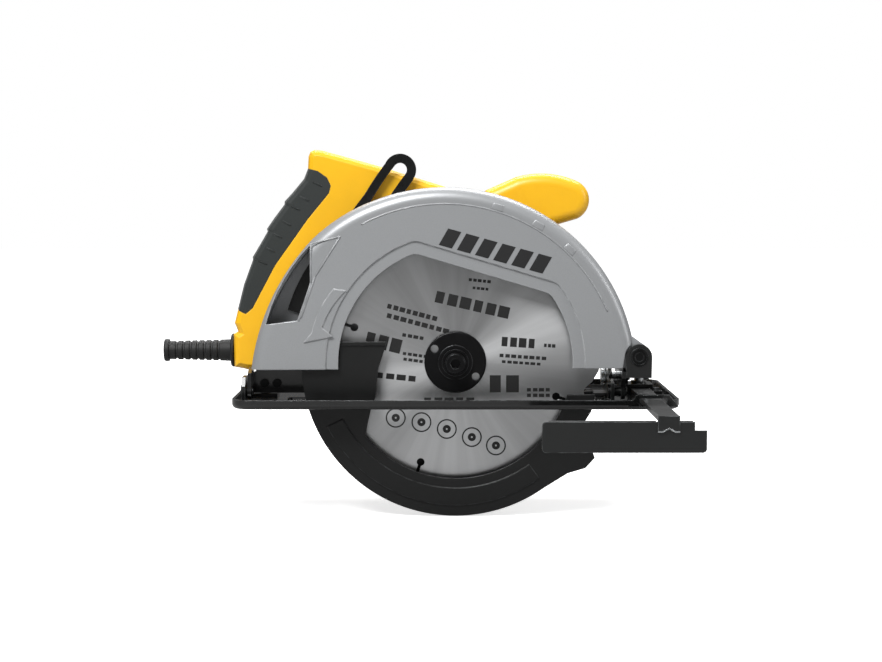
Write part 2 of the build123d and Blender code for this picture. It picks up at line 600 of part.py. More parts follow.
with BuildPart() as upper_guard:
    with BuildSketch(side(FAR_FACE)):
        add(guard_outline())
    extrude(amount=FAR_FACE - NEAR_FACE)
    near_rim = upper_guard.faces().sort_by(Axis.Y)[0].edges().filter_by(GeomType.CIRCLE)
    fillet(near_rim, radius=RIM_ROUND)
    far_rim = upper_guard.faces().sort_by(Axis.Y)[-1].edges().filter_by(GeomType.CIRCLE)
    fillet(far_rim, radius=2.5)
    with BuildPart(mode=Mode.PRIVATE) as hollow:
        with BuildSketch(side(FAR_FACE - 2.0)):
            add(guard_outline(CAST_WALL))
        extrude(amount=FAR_FACE - 2.0 - NEAR_FACE - 2.5)
        inner_rim = hollow.faces().sort_by(Axis.Y)[0].edges().filter_by(GeomType.CIRCLE)
        fillet(inner_rim, radius=RIM_ROUND - CAST_WALL)
        with BuildSketch(side(FAR_FACE - 2.0)):
            with Locations((-12, skirt_z)):
                Rectangle(228, 12)
        extrude(amount=FAR_FACE - 2.0 - NEAR_FACE - 2.5)
    add(hollow.part, mode=Mode.SUBTRACT)
    with BuildSketch(side(NEAR_FACE + 2.6)):
        add(near_opening(0))
    extrude(amount=4, mode=Mode.SUBTRACT)
    with BuildSketch(side(NEAR_FACE + STEP_DEPTH)):
        add(near_opening(STEP_WIDTH))
    extrude(amount=4, mode=Mode.SUBTRACT)
    # chip window with its sloping lower edge
    with BuildSketch(side(WINDOW_Y)):
        with BuildLine():
            Polyline((-91.5, 74.5), (-91.5, 50.8), (-99.6, 27.2), (-119.5, 24.6))
            ThreePointArc((-119.5, 24.6), (-109.6, 50.0), (-91.5, 74.5))
        make_face()
    extrude(amount=WINDOW_Y - NEAR_FACE + 1, mode=Mode.SUBTRACT)
    # raised rotation arrow
    with BuildSketch(side(NEAR_FACE)):
        with BuildLine():
            ThreePointArc((-76.6, 47.2), (-85.4, 34.0), (-90.5, 19.5))
            Polyline((-90.5, 19.5), (-95.6, 13.3), (-76.9, 17.2), (-84.0, 22.5))
            ThreePointArc((-84.0, 22.5), (-78.4, 34.5), (-69.0, 46.0))
            Line((-69.0, 46.0), (-76.6, 47.2))
        make_face()
    extrude(amount=0.7)
    # far wall: seat of the gear case, screw holes and the depth stud
    with BuildSketch(side(FAR_FACE)):
        Circle(HUB_R + COLLAR_WALL + 4.5)
        with Locations(*CASE_SCREWS):
            Circle(CASE_SCREW_R)
        with Locations(polar(SLOT_R, LOCK_ANGLE, PIVOT_X, PIVOT_DZ)):
            Circle(stud_r)
    extrude(amount=3, mode=Mode.SUBTRACT)
    # pivot boss
    with BuildSketch(side(PIVOT_HALF)):
        with Locations((PIVOT_X, PIVOT_DZ)):
            Circle(PIVOT_BOSS_R)
        add(polygon((pivot_edge - 5, 16), (pivot_edge, 17), (pivot_edge + 7, 12), (PIVOT_X, PIVOT_DZ),
                    (PIVOT_X - 6, -3), (104.9, -3)))
    extrude(amount=2 * PIVOT_HALF)
    with BuildSketch(side(FAR_FACE)):
        with Locations((PIVOT_X, PIVOT_DZ)):
            Circle(PIN_R + PIVOT_FIT)
    extrude(amount=FAR_FACE - NEAR_FACE + 1, mode=Mode.SUBTRACT)
    # clearance for the ears of the yoke
    for ear_y1 in (-ear_in + EAR_GAP, FAR_FACE + 1):
        with BuildSketch(side(ear_y1)):
            with Locations((PIVOT_X, PIVOT_DZ)):
                Circle(EYE_R + 1.2)
            add(polygon((PIVOT_X - EYE_R - 1.2, PIVOT_DZ), (PIVOT_X + 12, PIVOT_DZ), (PIVOT_X + 12, -8),
                        (104.4, -8)))
        reach = FAR_FACE + 1 - ear_in + EAR_GAP if ear_y1 > 0 else -NEAR_FACE - ear_in + 2
        extrude(amount=reach, mode=Mode.SUBTRACT)
save(upper_guard, "upper_guard")

duct_in = GUARD_R + 2.7
with BuildPart() as chip_deflector:
    with BuildSketch(side(FAR_FACE - 2.4)):
        add(ring_sector(duct_in, duct_in + 1.8, 139, 163))
    extrude(amount=FAR_FACE - 2.4 - NEAR_FACE - 2.9)
    with BuildSketch(side(FAR_FACE - 2.4)):
        add(ring_sector(duct_in, duct_in + 12.0, 143, 163))
    extrude(amount=1.6)
save(chip_deflector, "chip_deflector")

# ---------------------------------------------------------------- gear case
gear_r = MODULE * GEAR_TEETH / 2 + 0.9 * MODULE
pinion_r = MODULE * PINION_TEETH / 2 + 0.9 * MODULE
lobe_r = gear_r + CASE_CLEAR + CASE_WALL
spring_seat_r = HUB_R + COLLAR_WALL + 2.2     # the guard's return spring lies against it
GEAR_FRONT = 18.0
BEARING_R, BEARING_W = 14.0, 8.0          # front spindle bearing
REAR_BEARING_R, REAR_BEARING_W = 11.0, 7.0
MOTOR_BEARING_R, MOTOR_BEARING_W = 12.0, 6.0
LOCK_Y, LOCK_PIN_R = 29.7, 1.6
COVER_SCREWS = [polar(BELL_R - 5.5, angle, 0, MOTOR_UP) for angle in (0, 90, 180)]
BELL_FRONT = 22.0
with BuildPart() as gear_case:
    with BuildSketch(side(FAR_FACE)):
        Circle(HUB_R)
    extrude(amount=FAR_FACE - 5.9)
    with BuildSketch(side(BELL_FRONT)):
        Circle(max(lobe_r, spring_seat_r))
        with Locations((0, MOTOR_UP)):
            Circle(BELL_R - 3)
    extrude(amount=BELL_FRONT - FAR_FACE)
    with BuildSketch(side(CASE_SPLIT)):
        Circle(lobe_r)
        with Locations((0, MOTOR_UP)):
            Circle(BELL_R)
    extrude(amount=CASE_SPLIT - BELL_FRONT)
    # cavity for the gear pair, bearing seat and bores
    with BuildSketch(side(CASE_SPLIT)):
        Circle(gear_r + CASE_CLEAR)
        with Locations((0, MOTOR_UP)):
            Circle(pinion_r + CASE_CLEAR + 1)
    extrude(amount=CASE_SPLIT - GEAR_FRONT, mode=Mode.SUBTRACT)
    for y0, y1, r in ((8.0, GEAR_FRONT, BEARING_R), (0, GEAR_FRONT, BEARING_R - 3)):
        with BuildSketch(side(y1)):
            Circle(r)
        extrude(amount=y1 - y0, mode=Mode.SUBTRACT)
    with BuildSketch(side(FAR_FACE + 10)):
        with Locations(*CASE_SCREWS):
            Circle(2.0)
    extrude(amount=12, mode=Mode.SUBTRACT)
    with BuildSketch(side(CASE_SPLIT)):
        with Locations(*COVER_SCREWS):
            Circle(2.0)
    extrude(amount=8, mode=Mode.SUBTRACT)
    # groove for the guard's retaining ring
    with BuildSketch(side(7.3)):
        Circle(HUB_R + 1)
        Circle(HUB_R - 1.0, mode=Mode.SUBTRACT)
    extrude(amount=1.2, mode=Mode.SUBTRACT)
    # bore of the spindle lock
    with BuildSketch(across(LOCK_Y, 0, 0)):
        Circle(LOCK_PIN_R + PIN_FIT)
    extrude(amount=60, mode=Mode.SUBTRACT)
save(gear_case, "gear_case")

with BuildPart() as case_cover:
    with BuildSketch(side(MOTOR_Y)):
        with Locations((0, MOTOR_UP)):
            Circle(BELL_R)
    extrude(amount=MOTOR_Y - CASE_SPLIT)
    with BuildSketch(side(CASE_SPLIT + 10.5)):
        Circle(lobe_r)
    extrude(amount=10.5)
    with BuildSketch(side(CASE_SPLIT + REAR_BEARING_W)):
        Circle(REAR_BEARING_R)
    extrude(amount=REAR_BEARING_W, mode=Mode.SUBTRACT)
    with BuildSketch(side(MOTOR_Y)):
        with Locations((0, MOTOR_UP)):
            Circle(MOTOR_BEARING_R)
    extrude(amount=MOTOR_Y - 39, mode=Mode.SUBTRACT)
    with BuildSketch(side(MOTOR_Y)):
        with Locations((0, MOTOR_UP)):
            Circle(MOTOR_BEARING_R - 4)
    extrude(amount=MOTOR_Y - CASE_SPLIT, mode=Mode.SUBTRACT)
    with BuildSketch(side(MOTOR_Y)):
        with Locations((0, MOTOR_UP)):
            Circle(MOTOR_R - MOTOR_WALL - 1)
            Circle(MOTOR_BEARING_R + 2.5, mode=Mode.SUBTRACT)
    extrude(amount=4, mode=Mode.SUBTRACT)
    with BuildSketch(side(MOTOR_Y)):
        with Locations(*COVER_SCREWS):
            Circle(2.0)
    extrude(amount=20, mode=Mode.SUBTRACT)
    with BuildSketch(side(MOTOR_Y)):
        with Locations(*COVER_SCREWS):
            Circle(3.9)
    extrude(amount=4.5, mode=Mode.SUBTRACT)
save(case_cover, "gear_case_cover")

with BuildPart() as case_screws:
    for place in COVER_SCREWS:
        for y0, y1, r in ((CASE_SPLIT - 7, MOTOR_Y - 4.4, 1.95), (MOTOR_Y - 4.4, MOTOR_Y - 0.4, 3.6)):
            with BuildSketch(side(y1)):
                with Locations(place):
                    Circle(r)
            extrude(amount=y1 - y0)
    for place in CASE_SCREWS:
        for y0, y1, r in ((FAR_FACE - 1.7, FAR_FACE + 9, 1.95),
                          (FAR_FACE - 1.7, FAR_FACE - 0.9, CASE_SCREW_R - 0.05)):
            with BuildSketch(side(y1)):
                with Locations(place):
                    Circle(r)
            extrude(amount=y1 - y0)
save(case_screws, "case_screws")

turned("spindle_bearings", ((8.0, 8.0 + BEARING_W, BEARING_R, SPINDLE_R),
                            (CASE_SPLIT, CASE_SPLIT + REAR_BEARING_W, REAR_BEARING_R, 4.0)))
turned("armature_bearings", ((39.2, 39.2 + MOTOR_BEARING_W, MOTOR_BEARING_R, SPINDLE_R),
                             (141.0, 148.0, REAR_BEARING_R, 4.0)), MOTOR_UP)

# ---------------------------------------------------------------- motor
CAP_BOSS_R = REAR_BEARING_R + 2.6
with BuildPart() as motor_housing:
    with BuildSketch(side(MOTOR_END)):
        with Locations((0, MOTOR_UP)):
            Circle(MOTOR_R)
    extrude(amount=MOTOR_END - MOTOR_Y)
    with BuildSketch(across(BRUSH_Y, -MOTOR_R - 4, MOTOR_UP)):
        Circle(9.5)
    extrude(amount=2 * MOTOR_R + 8)
    with BuildSketch(side(MOTOR_END)):
        with Locations((0, MOTOR_UP)):
            Circle(MOTOR_R - MOTOR_WALL)
    extrude(amount=MOTOR_END - MOTOR_Y, mode=Mode.SUBTRACT)
    with BuildSketch(across(BRUSH_Y, -MOTOR_R - 5, MOTOR_UP)):
        Circle(7.2)
    extrude(amount=2 * MOTOR_R + 10, mode=Mode.SUBTRACT)
save(motor_housing, "motor_housing")

with BuildPart() as end_cap:
    with BuildSketch(side(CAP_END)):
        with Locations((0, MOTOR_UP)):
            Circle(MOTOR_R)
    extrude(amount=CAP_END - MOTOR_END)
    fillet(end_cap.faces().sort_by(Axis.Y)[-1].edges(), radius=5.0)
    with BuildSketch(side(CAP_END - 3)):
        with Locations((0, MOTOR_UP)):
            Circle(MOTOR_R - MOTOR_WALL - 2.5)
    extrude(amount=CAP_END - MOTOR_END - 3, mode=Mode.SUBTRACT)
    with BuildSketch(side(CAP_END - 2)):
        with Locations((0, MOTOR_UP)):
            Circle(CAP_BOSS_R)
    extrude(amount=CAP_END - 2 - 140.6)
    with BuildSketch(side(148.0)):
        with Locations((0, MOTOR_UP)):
            Circle(REAR_BEARING_R)
    extrude(amount=10, mode=Mode.SUBTRACT)
    with BuildSketch(side(CAP_END + 1)):
        with Locations((0, MOTOR_UP)):
            with PolarLocations(MOTOR_R - 17, 16):
                SlotOverall(14, 3.2)
    extrude(amount=6, mode=Mode.SUBTRACT)
save(end_cap, "motor_end_cap")

with BuildPart() as field_core:
    with BuildSketch(side(112)):
        with Locations((0, MOTOR_UP)):
            Circle(MOTOR_R - MOTOR_WALL - 0.1)
            Circle(CORE_R + AIR_GAP + 8, mode=Mode.SUBTRACT)
        with Locations((0, MOTOR_UP + CORE_R + AIR_GAP + 4.5), (0, MOTOR_UP - CORE_R - AIR_GAP - 4.5)):
            Rectangle(34, 12)
        with Locations((0, MOTOR_UP)):
            Circle(CORE_R + AIR_GAP, mode=Mode.SUBTRACT)
    extrude(amount=46)
save(field_core, "field_core")

with BuildPart() as field_coils:
    for up in (-1, 1):
        with BuildSketch(side(116)):
            with Locations((0, MOTOR_UP)):
                add(ring_sector(CORE_R + AIR_GAP + 1.2, CORE_R + AIR_GAP + 7.4, 90 * up - 42, 90 * up + 42))
        extrude(amount=3.9)
save(field_coils, "field_coils")

with BuildPart() as brush_holders:
    for turn in (0, 180):
        with BuildSketch(brush_plane(turn, COMMUTATOR_R + 2.5)):
            Rectangle(10, 12)
            Rectangle(6.4, 8.4, mode=Mode.SUBTRACT)
        extrude(amount=MOTOR_R - BRUSH_CAP_SINK - 1.5 - COMMUTATOR_R - 2.5)
save(brush_holders, "brush_holders")

with BuildPart() as brushes:
    for turn in (0, 180):
        with BuildSketch(brush_plane(turn, COMMUTATOR_R + 0.4)):
            Rectangle(6.3, 8.3)
        extrude(amount=15)
save(brushes, "carbon_brushes")

with BuildPart() as brush_caps:
    for turn in (0, 180):
        with BuildSketch(brush_plane(turn, MOTOR_R - BRUSH_CAP_SINK)):
            Circle(7.1)
        extrude(amount=5.4)
        with BuildSketch(brush_plane(turn, MOTOR_R + 2.4)):
            Rectangle(16, 1.6)
        extrude(amount=2, mode=Mode.SUBTRACT)
save(brush_caps, "brush_caps")

# ---------------------------------------------------------------- armature
turned("armature_shaft", ((GEAR_Y + GEAR_WIDTH + 0.6, 39.2, 3.1, 0), (39.2, 52.0, SPINDLE_R - 0.02, 0),
                          (52.0, 140.9, 5.0, 0), (140.9, 147.6, 3.98, 0)), MOTOR_UP)
with BuildPart() as pinion:
    with BuildSketch(side(GEAR_Y + GEAR_WIDTH + 0.6)):
        with Locations((0, MOTOR_UP)):
            add(polygon(*gear_outline(PINION_TEETH, -90)))
    extrude(amount=GEAR_WIDTH + 1.2)
save(pinion, "motor_pinion")
with BuildPart() as armature_core:
    with BuildSketch(side(112)):
        with Locations((0, MOTOR_UP)):
            Circle(CORE_R)
            with PolarLocations(CORE_R - 3, 12):
                Rectangle(6.5, 2.2, mode=Mode.SUBTRACT)
            Circle(5.0, mode=Mode.SUBTRACT)
    extrude(amount=46)
save(armature_core, "armature_core")
turned("commutator", ((117.6, 132.4, COMMUTATOR_R, 5.0),), MOTOR_UP)
fan_r = MOTOR_R - MOTOR_WALL - FAN_CLEAR
FAN_BLADE = 20.0
with BuildPart() as fan:
    with BuildSketch(side(54.0)):
        with Locations((0, MOTOR_UP)):
            Circle(fan_r)
            Circle(5.0, mode=Mode.SUBTRACT)
    extrude(amount=1.6)
    with BuildSketch(side(61.0)):
        with Locations((0, MOTOR_UP)):
            Circle(9)
            Circle(5.0, mode=Mode.SUBTRACT)
            with PolarLocations(fan_r - 1 - FAN_BLADE / 2, 14):
                Rectangle(FAN_BLADE, 1.5)
    extrude(amount=8)
save(fan, "cooling_fan")

# ---------------------------------------------------------------- spindle group
COLLAR_Y = 28.4
with BuildPart() as spindle:
    for y0, y1, r in ((-1.9, 7.6, ARBOR_R), (7.6, CASE_SPLIT, SPINDLE_R - 0.02),
                      (CASE_SPLIT, CASE_SPLIT + REAR_BEARING_W - 0.6, 3.98)):
        with BuildSketch(side(y1)):
            Circle(r)
        extrude(amount=y1 - y0)
    with BuildSketch(side(CASE_SPLIT - 0.3)):
        Circle(11.5)
        with PolarLocations(11.0, 4):
            Rectangle(6.0, 2 * LOCK_PIN_R + 0.5, mode=Mode.SUBTRACT)
    extrude(amount=CASE_SPLIT - 0.3 - COLLAR_Y)
    with BuildSketch(side(14)):
        Circle(BOLT_R)
    extrude(amount=17, mode=Mode.SUBTRACT)
save(spindle, "spindle")

with BuildPart() as driven_gear:
    with BuildSketch(side(GEAR_Y + GEAR_WIDTH)):
        add(polygon(*gear_outline(GEAR_TEETH, 90 + 180 / GEAR_TEETH)))
        Circle(SPINDLE_R, mode=Mode.SUBTRACT)
        with PolarLocations(13, 5):
            Circle(2.6, mode=Mode.SUBTRACT)
    extrude(amount=GEAR_WIDTH)
save(driven_gear, "driven_gear")

half_plate = PLATE_T / 2
turned("inner_flange", ((half_plate, half_plate + FLANGE_T, FLANGE_R, ARBOR_R),
                        (half_plate + FLANGE_T, 7.6, 10.8, ARBOR_R)))
with BuildPart() as outer_flange:
    with BuildSketch(side(-half_plate)):
        Circle(FLANGE_R)
        with Locations(polar(15.8, 147), polar(15.8, 325)):
            Circle(2.5, mode=Mode.SUBTRACT)
    extrude(amount=FLANGE_T - 1)
    rim_edges = outer_flange.edges().filter_by(GeomType.CIRCLE).sort_by(SortBy.RADIUS)[-2:]
    fillet(rim_edges.sort_by(Axis.Y)[0], radius=1.2)
    with BuildSketch(side(-half_plate - FLANGE_T + 1)):
        Circle(10.9)
    extrude(amount=2.2)
    with BuildSketch(side(0)):
        Circle(ARBOR_R + 0.06)
    extrude(amount=2.4, mode=Mode.SUBTRACT)
    with BuildSketch(side(0)):
        Circle(BOLT_R + 0.3)
    extrude(amount=12, mode=Mode.SUBTRACT)
save(outer_flange, "outer_flange")

washer_y = -half_plate - FLANGE_T - 1.2
turned("bolt_washer", ((washer_y - 1.6, washer_y, 8.6, BOLT_R + 0.3),))
HEAD_R, HEAD_H, HEX_AF = 6.5, 8.0, 6.0
head_y = washer_y - 1.6
with BuildPart() as blade_bolt:
    with BuildSketch(side(head_y)):
        Circle(HEAD_R)
    extrude(amount=HEAD_H)
    chamfer(blade_bolt.faces().sort_by(Axis.Y)[0].edges(), length=0.6)
    with BuildSketch(side(13)):
        Circle(BOLT_R - 0.02)
    extrude(amount=13 - head_y)
    with BuildSketch(side(head_y - HEAD_H + 4.5)):
        RegularPolygon(HEX_AF / 2, 6, major_radius=False)
    extrude(amount=5, mode=Mode.SUBTRACT)
save(blade_bolt, "blade_bolt")

# blade: one tooth pitch as radius and angle back from the tooth tip
TOOTH = ((0.0, 0.0), (0.9, 3.5), (4.3, 8.3), (8.0, 11.3), (8.6, 12.9), (6.6, 15.4))
pitch_angle = 360 / TEETH
blade_points = [polar(BLADE_R - drop, -tooth * pitch_angle - back)
                for tooth in range(TEETH) for drop, back in TOOTH]
SLOT_ANGLES = (71, 161, 251, 341)
with BuildPart() as blade:
    with BuildSketch(side(half_plate)):
        add(polygon(*blade_points))
        Circle(ARBOR_R + 0.04, mode=Mode.SUBTRACT)
        for angle in SLOT_ANGLES:
            with Locations(polar(68, angle)):
                Circle(2.5, mode=Mode.SUBTRACT)
            with Locations(Pos(*polar(82, angle)) * Rot(0, 0, angle)):
                Rectangle(28, 2, mode=Mode.SUBTRACT)
    extrude(amount=PLATE_T)
save(blade, "saw_blade")

with BuildPart() as tips:
    for tooth in range(TEETH):
        at = -tooth * pitch_angle
        with BuildSketch(side(KERF / 2)):
            add(polygon(polar(BLADE_R, at), polar(BLADE_R, at + 0.9), polar(BLADE_R - 5.4, at + 0.55),
                        polar(BLADE_R - 5.4, at - 0.3)))
        extrude(amount=KERF)
save(tips, "carbide_tips")

# ---------------------------------------------------------------- lower guard
GUARD_TOP = 13.6           # upper edge at the rear
GUARD_FRONT = -20.0        # upper edge at the front, where the blade's teeth stay open


def guard_blank(top):
    """Side outline of the lower guard; its top edge at the rear runs in to x = `top`."""
    with BuildSketch() as blank:
        rear = 180 - degrees(asin(GUARD_TOP / GUARD_R))
        with BuildLine():
            ThreePointArc(polar(GUARD_R, rear), polar(GUARD_R, (rear + 305) / 2), polar(GUARD_R, 305))
            Polyline(polar(GUARD_R, 305), (71.5, -70.2), (82.5, -67.0), (88.6, -60.5), (81.4, -38.5),
                     (86.1, -30.9), (88.5, GUARD_FRONT), (20.0, GUARD_FRONT), (20.0, GUARD_TOP),
                     (top, GUARD_TOP), polar(GUARD_R, rear))
        make_face()
    return blank.sketch


hollow_half = GUARD_HALF - GUARD_WALL
collar_r = HUB_R + HUB_FIT + COLLAR_WALL
with BuildPart() as lower_guard:
    with BuildSketch(side(GUARD_HALF)):
        add(guard_blank(-43.3))
        Circle(collar_r + 6)
    extrude(amount=2 * GUARD_HALF)
    with BuildSketch(side(hollow_half)):
        Circle(GUARD_R - GUARD_WALL)
    extrude(amount=2 * hollow_half, mode=Mode.SUBTRACT)
    # window of the near wall; the lobe at the rear stays
    with BuildSketch(side(-hollow_half + 0.1)):
        Circle(GUARD_WINDOW_R)
        add(polygon((20, 20), (120, 20), (120, GUARD_FRONT), (20, GUARD_FRONT)))
        with BuildLine():
            Polyline((-56.9, -46.5), (-55.8, -39.1), (-53.5, -29.6), (-50.4, -21.5), (-49.0, -4.4),
                     (-43.3, GUARD_TOP), (-120, GUARD_TOP), (-120, -46.5), (-56.9, -46.5))
        make_face(mode=Mode.SUBTRACT)
    extrude(amount=4, mode=Mode.SUBTRACT)
    # raised band and the turned-up rear edge
    with BuildSketch(side(-GUARD_HALF)):
        add(ring_sector(79.6, 90.6, -153.5, -54.0))
    extrude(amount=BAND_RAISE)
    with BuildSketch(side(-GUARD_HALF)):
        with Locations((-62, GUARD_TOP - 1.2)):
            Rectangle(36, 2.4)
    extrude(amount=BAND_RAISE)
    # hub: collar running on the boss of the gear case
    with BuildSketch(side(FAR_FACE - 0.9)):
        Circle(collar_r)
    extrude(amount=FAR_FACE - 0.9 - GUARD_HALF)
    with BuildSketch(side(FAR_FACE)):
        Circle(HUB_R + HUB_FIT)
    extrude(amount=FAR_FACE - hollow_half + 1, mode=Mode.SUBTRACT)
save(lower_guard, "lower_guard")

turned("guard_retaining_ring", ((6.15, 7.25, collar_r - 1.2, HUB_R - 0.95),))

wire_r = 0.6
spring_r = collar_r + 2.0
with BuildPart() as guard_spring:
    with BuildLine():
        coil = Helix(pitch=1.4, height=1.2, radius=spring_r,
                     center=(0, BLADE_Y + FAR_FACE - 0.8, SPINDLE_Z), direction=(0, -1, 0))
    with BuildSketch(Plane(origin=coil @ 0, z_dir=coil % 0)):
        Circle(wire_r)
    sweep()
save(guard_spring, "guard_return_spring")

# ---------------------------------------------------------------- depth lock
stud_x, stud_dz = polar(SLOT_R, LOCK_ANGLE, PIVOT_X, PIVOT_DZ)
lever_y0 = GUIDE_Y + GUIDE_T + 0.6
LEVER_T = 5.4
with BuildPart() as depth_stud:
    with BuildSketch(side(lever_y0 + LEVER_T + 1.0)):
        with Locations((stud_x, stud_dz)):
            Circle(stud_r)
    extrude(amount=lever_y0 + LEVER_T + 1.0 - FAR_FACE + 1.9)
save(depth_stud, "depth_lock_stud")

with BuildPart() as depth_lever:
    with BuildSketch(side(lever_y0 + LEVER_T)):
        with Locations((stud_x, stud_dz)):
            Circle(8.5)
        with Locations(polar(LEVER_REACH, 195, stud_x, stud_dz)):
            Circle(4.2)
        add(polygon(polar(8, 105, stud_x, stud_dz), polar(LEVER_REACH + 1, 188, stud_x, stud_dz),
                    polar(LEVER_REACH + 1, 202, stud_x, stud_dz), polar(8, 285, stud_x, stud_dz)))
        with Locations((stud_x, stud_dz)):
            Circle(stud_r + PIN_FIT, mode=Mode.SUBTRACT)
    extrude(amount=LEVER_T)
save(depth_lever, "depth_lock_lever")

# ---------------------------------------------------------------- main handle
near_face = HANDLE_Y - HANDLE_WIDTH / 2
far_face = HANDLE_Y + HANDLE_WIDTH / 2
RIDGES = ((-140.8, 32.7), (-136.9, 48.2), (-130.9, 64.5), (-131.2, 66.0), (-126.3, 74.0), (-121.3, 82.6),
          (-121.8, 84.2), (-116.9, 91.3), (-110.3, 100.0), (-110.2, 102.0), (-105.0, 107.6),
          (-97.6, 116.5), (-95.0, 123.1))
grip_axis = Plane(origin=(-81.5, BLADE_Y + HANDLE_Y, SPINDLE_Z + 66.0), x_dir=(-0.891, 0, 0.453),
                  z_dir=(0, -1, 0))


SEAT_X = 16.4              # joint between the main handle and the front handle
SEAT_GAP = 0.4
seat_top = MOTOR_UP + BELL_R - 7.5        # both handles run on inside the motor's outline


def handle_outline():
    """Side view of the closed handle with its hand opening and its seat on the motor."""
    with BuildSketch() as outline:
        with BuildLine():
            Polyline((-38, -11), (-134.6, -7.1), (-143.3, -5.4), (-143.8, 15.9), (-140.8, 17.6),
                     (-143.1, 23.2), (-141.3, 30.3), *RIDGES, (-94.6, 130.8), (-93.4, 133.8),
                     (-90.6, 135.1), (-86.1, 134.8), (-48.7, 124.5), (SEAT_X - SEAT_GAP, 104.4),
                     (SEAT_X - SEAT_GAP, seat_top), (-38, -11))
        make_face()
        add(polygon((-70, 88), (-38, 82), (-50, 58), (-62, 33), (-99, 31)), mode=Mode.SUBTRACT)
        hole = outline.faces()[0].inner_wires()[0]
        fillet(hole.vertices(), radius=5.0)
        with Locations((0, MOTOR_UP)):
            Circle(BELL_R + MOTOR_CLEAR, mode=Mode.SUBTRACT)
    return outline.sketch


def rubber_outline():
    """Side view of the soft grip."""
    with BuildSketch() as outline:
        with BuildLine():
            Polyline((-135.4, 29.3), (-140.2, 31.4), *RIDGES, (-88.4, 121.4), (-82.4, 117.2), (-80.0, 112.0),
                     (-81.2, 107.2), (-95.0, 90.4), (-116.0, 60.9), (-130.8, 33.1), (-135.4, 29.3))
        make_face()
    return outline.sketch


def rounded_half(outline, toward_motor, middle=HANDLE_Y, width=HANDLE_WIDTH):
    """Half of a body between the plane `middle` and one outer face, softened in two steps."""
    turn = 1 if toward_motor else -1
    straight = width / 2 - sum(depth for depth, _ in SOFTENING)
    with BuildPart() as half:
        with BuildSketch(side(middle)):
            add(outline)
        extrude(amount=-turn * straight)
        for depth, slope in SOFTENING:
            outer = half.faces().sort_by(Axis.Y)[-1 if toward_motor else 0]
            extrude(outer, amount=depth, taper=slope)
    return half.part


with BuildPart() as rubber_grip:
    add(rounded_half(handle_outline(), False))
    add(rounded_half(handle_outline(), True))
    with BuildSketch(side(far_face + 1)):
        add(rubber_outline())
    extrude(amount=HANDLE_WIDTH + 2, mode=Mode.INTERSECT)
    with BuildSketch(side(far_face - RUBBER_T)):
        with Locations((2.6, -1.2), (9.0, -4.0)):
            add(rubber_outline())
    extrude(amount=HANDLE_WIDTH - 2 * RUBBER_T, mode=Mode.SUBTRACT)
save(rubber_grip, "rubber_grip")

SCREW_PLACES = [(-132, 20), (-52, 4), (-50, 114), (6, 88), (-86, 125)]
CORD_DZ = 4.6
SLEEVE_R = 6.4
BUTTON_AT = (-66, 106)
BUTTON_R = 5.0
TRIGGER_HALF = 16.0
cavity_near = near_face + HANDLE_WALL + RUBBER_T
cavity_far = far_face - HANDLE_WALL - RUBBER_T
with BuildSketch() as cavity_outline:
    add(handle_outline())
    offset(amount=-HANDLE_WALL - RUBBER_T, kind=Kind.INTERSECTION)
with BuildSketch() as pocket:
    add(handle_outline())
    with Locations(LEVER_POCKET[:2]):
        Rectangle(*LEVER_POCKET[2:], mode=Mode.INTERSECT)

for shell_name, at_motor, y0, y1, screw_r in (
        ("handle_near_shell", False, cavity_near, HANDLE_Y, 1.5),
        ("handle_far_shell", True, HANDLE_Y, cavity_far, 2.0)):
    with BuildPart() as shell:
        add(rounded_half(handle_outline(), at_motor))
        with BuildSketch(side(y1)):
            add(cavity_outline.sketch)
        extrude(amount=y1 - y0, mode=Mode.SUBTRACT)
        with BuildSketch(side(y1)):
            with Locations(*SCREW_PLACES):
                Circle(4.0)
        extrude(amount=y1 - y0)
        if not at_motor:
            with BuildSketch(side(LEVER_POCKET_Y + HANDLE_WALL)):
                add(pocket.sketch)
            extrude(amount=HANDLE_WALL + 2.3)
            with BuildSketch(side(LEVER_POCKET_Y)):
                with Locations(LEVER_POCKET[:2]):
                    Rectangle(*LEVER_POCKET[2:])
            extrude(amount=LEVER_POCKET_Y, mode=Mode.SUBTRACT)
        with BuildSketch(side(far_face + 1)):
            with Locations(*SCREW_PLACES):
                Circle(screw_r)
        extrude(amount=far_face + 1 - near_face - HANDLE_WALL, mode=Mode.SUBTRACT)
        if at_motor:
            with BuildSketch(side(far_face + 1)):
                with Locations(*SCREW_PLACES):
                    Circle(3.6)
                with Locations(BUTTON_AT):
                    Circle(BUTTON_R + 0.15)
            extrude(amount=5.0, mode=Mode.SUBTRACT)
            with BuildSketch(side(far_face + 1)):
                with Locations(BUTTON_AT):
                    Circle(BUTTON_R + 0.15)
            extrude(amount=8.0, mode=Mode.SUBTRACT)
        # mouth for the trigger and hole for the cord sleeve
        with BuildSketch(grip_axis):
            with Locations((8, 0)):
                Rectangle(20, 2 * (TRIGGER_HALF + TRIGGER_FIT))
        extrude(amount=TRIGGER_WIDTH / 2 + TRIGGER_FIT, both=True, mode=Mode.SUBTRACT)
        with BuildSketch(across(HANDLE_Y, -150, CORD_DZ)):
            Circle(SLEEVE_R)
        extrude(amount=14, mode=Mode.SUBTRACT)
        add(rubber_grip.part, mode=Mode.SUBTRACT)
    save(shell, shell_name)

with BuildPart() as handle_screws:
    for y0, y1, r in ((near_face + HANDLE_WALL + 3, far_face - 4.0, 1.48),
                      (far_face - 4.0, far_face - 1.0, 3.4)):
        with BuildSketch(side(y1)):
            with Locations(*SCREW_PLACES):
                Circle(r)
        extrude(amount=y1 - y0)
save(handle_screws, "handle_screws")

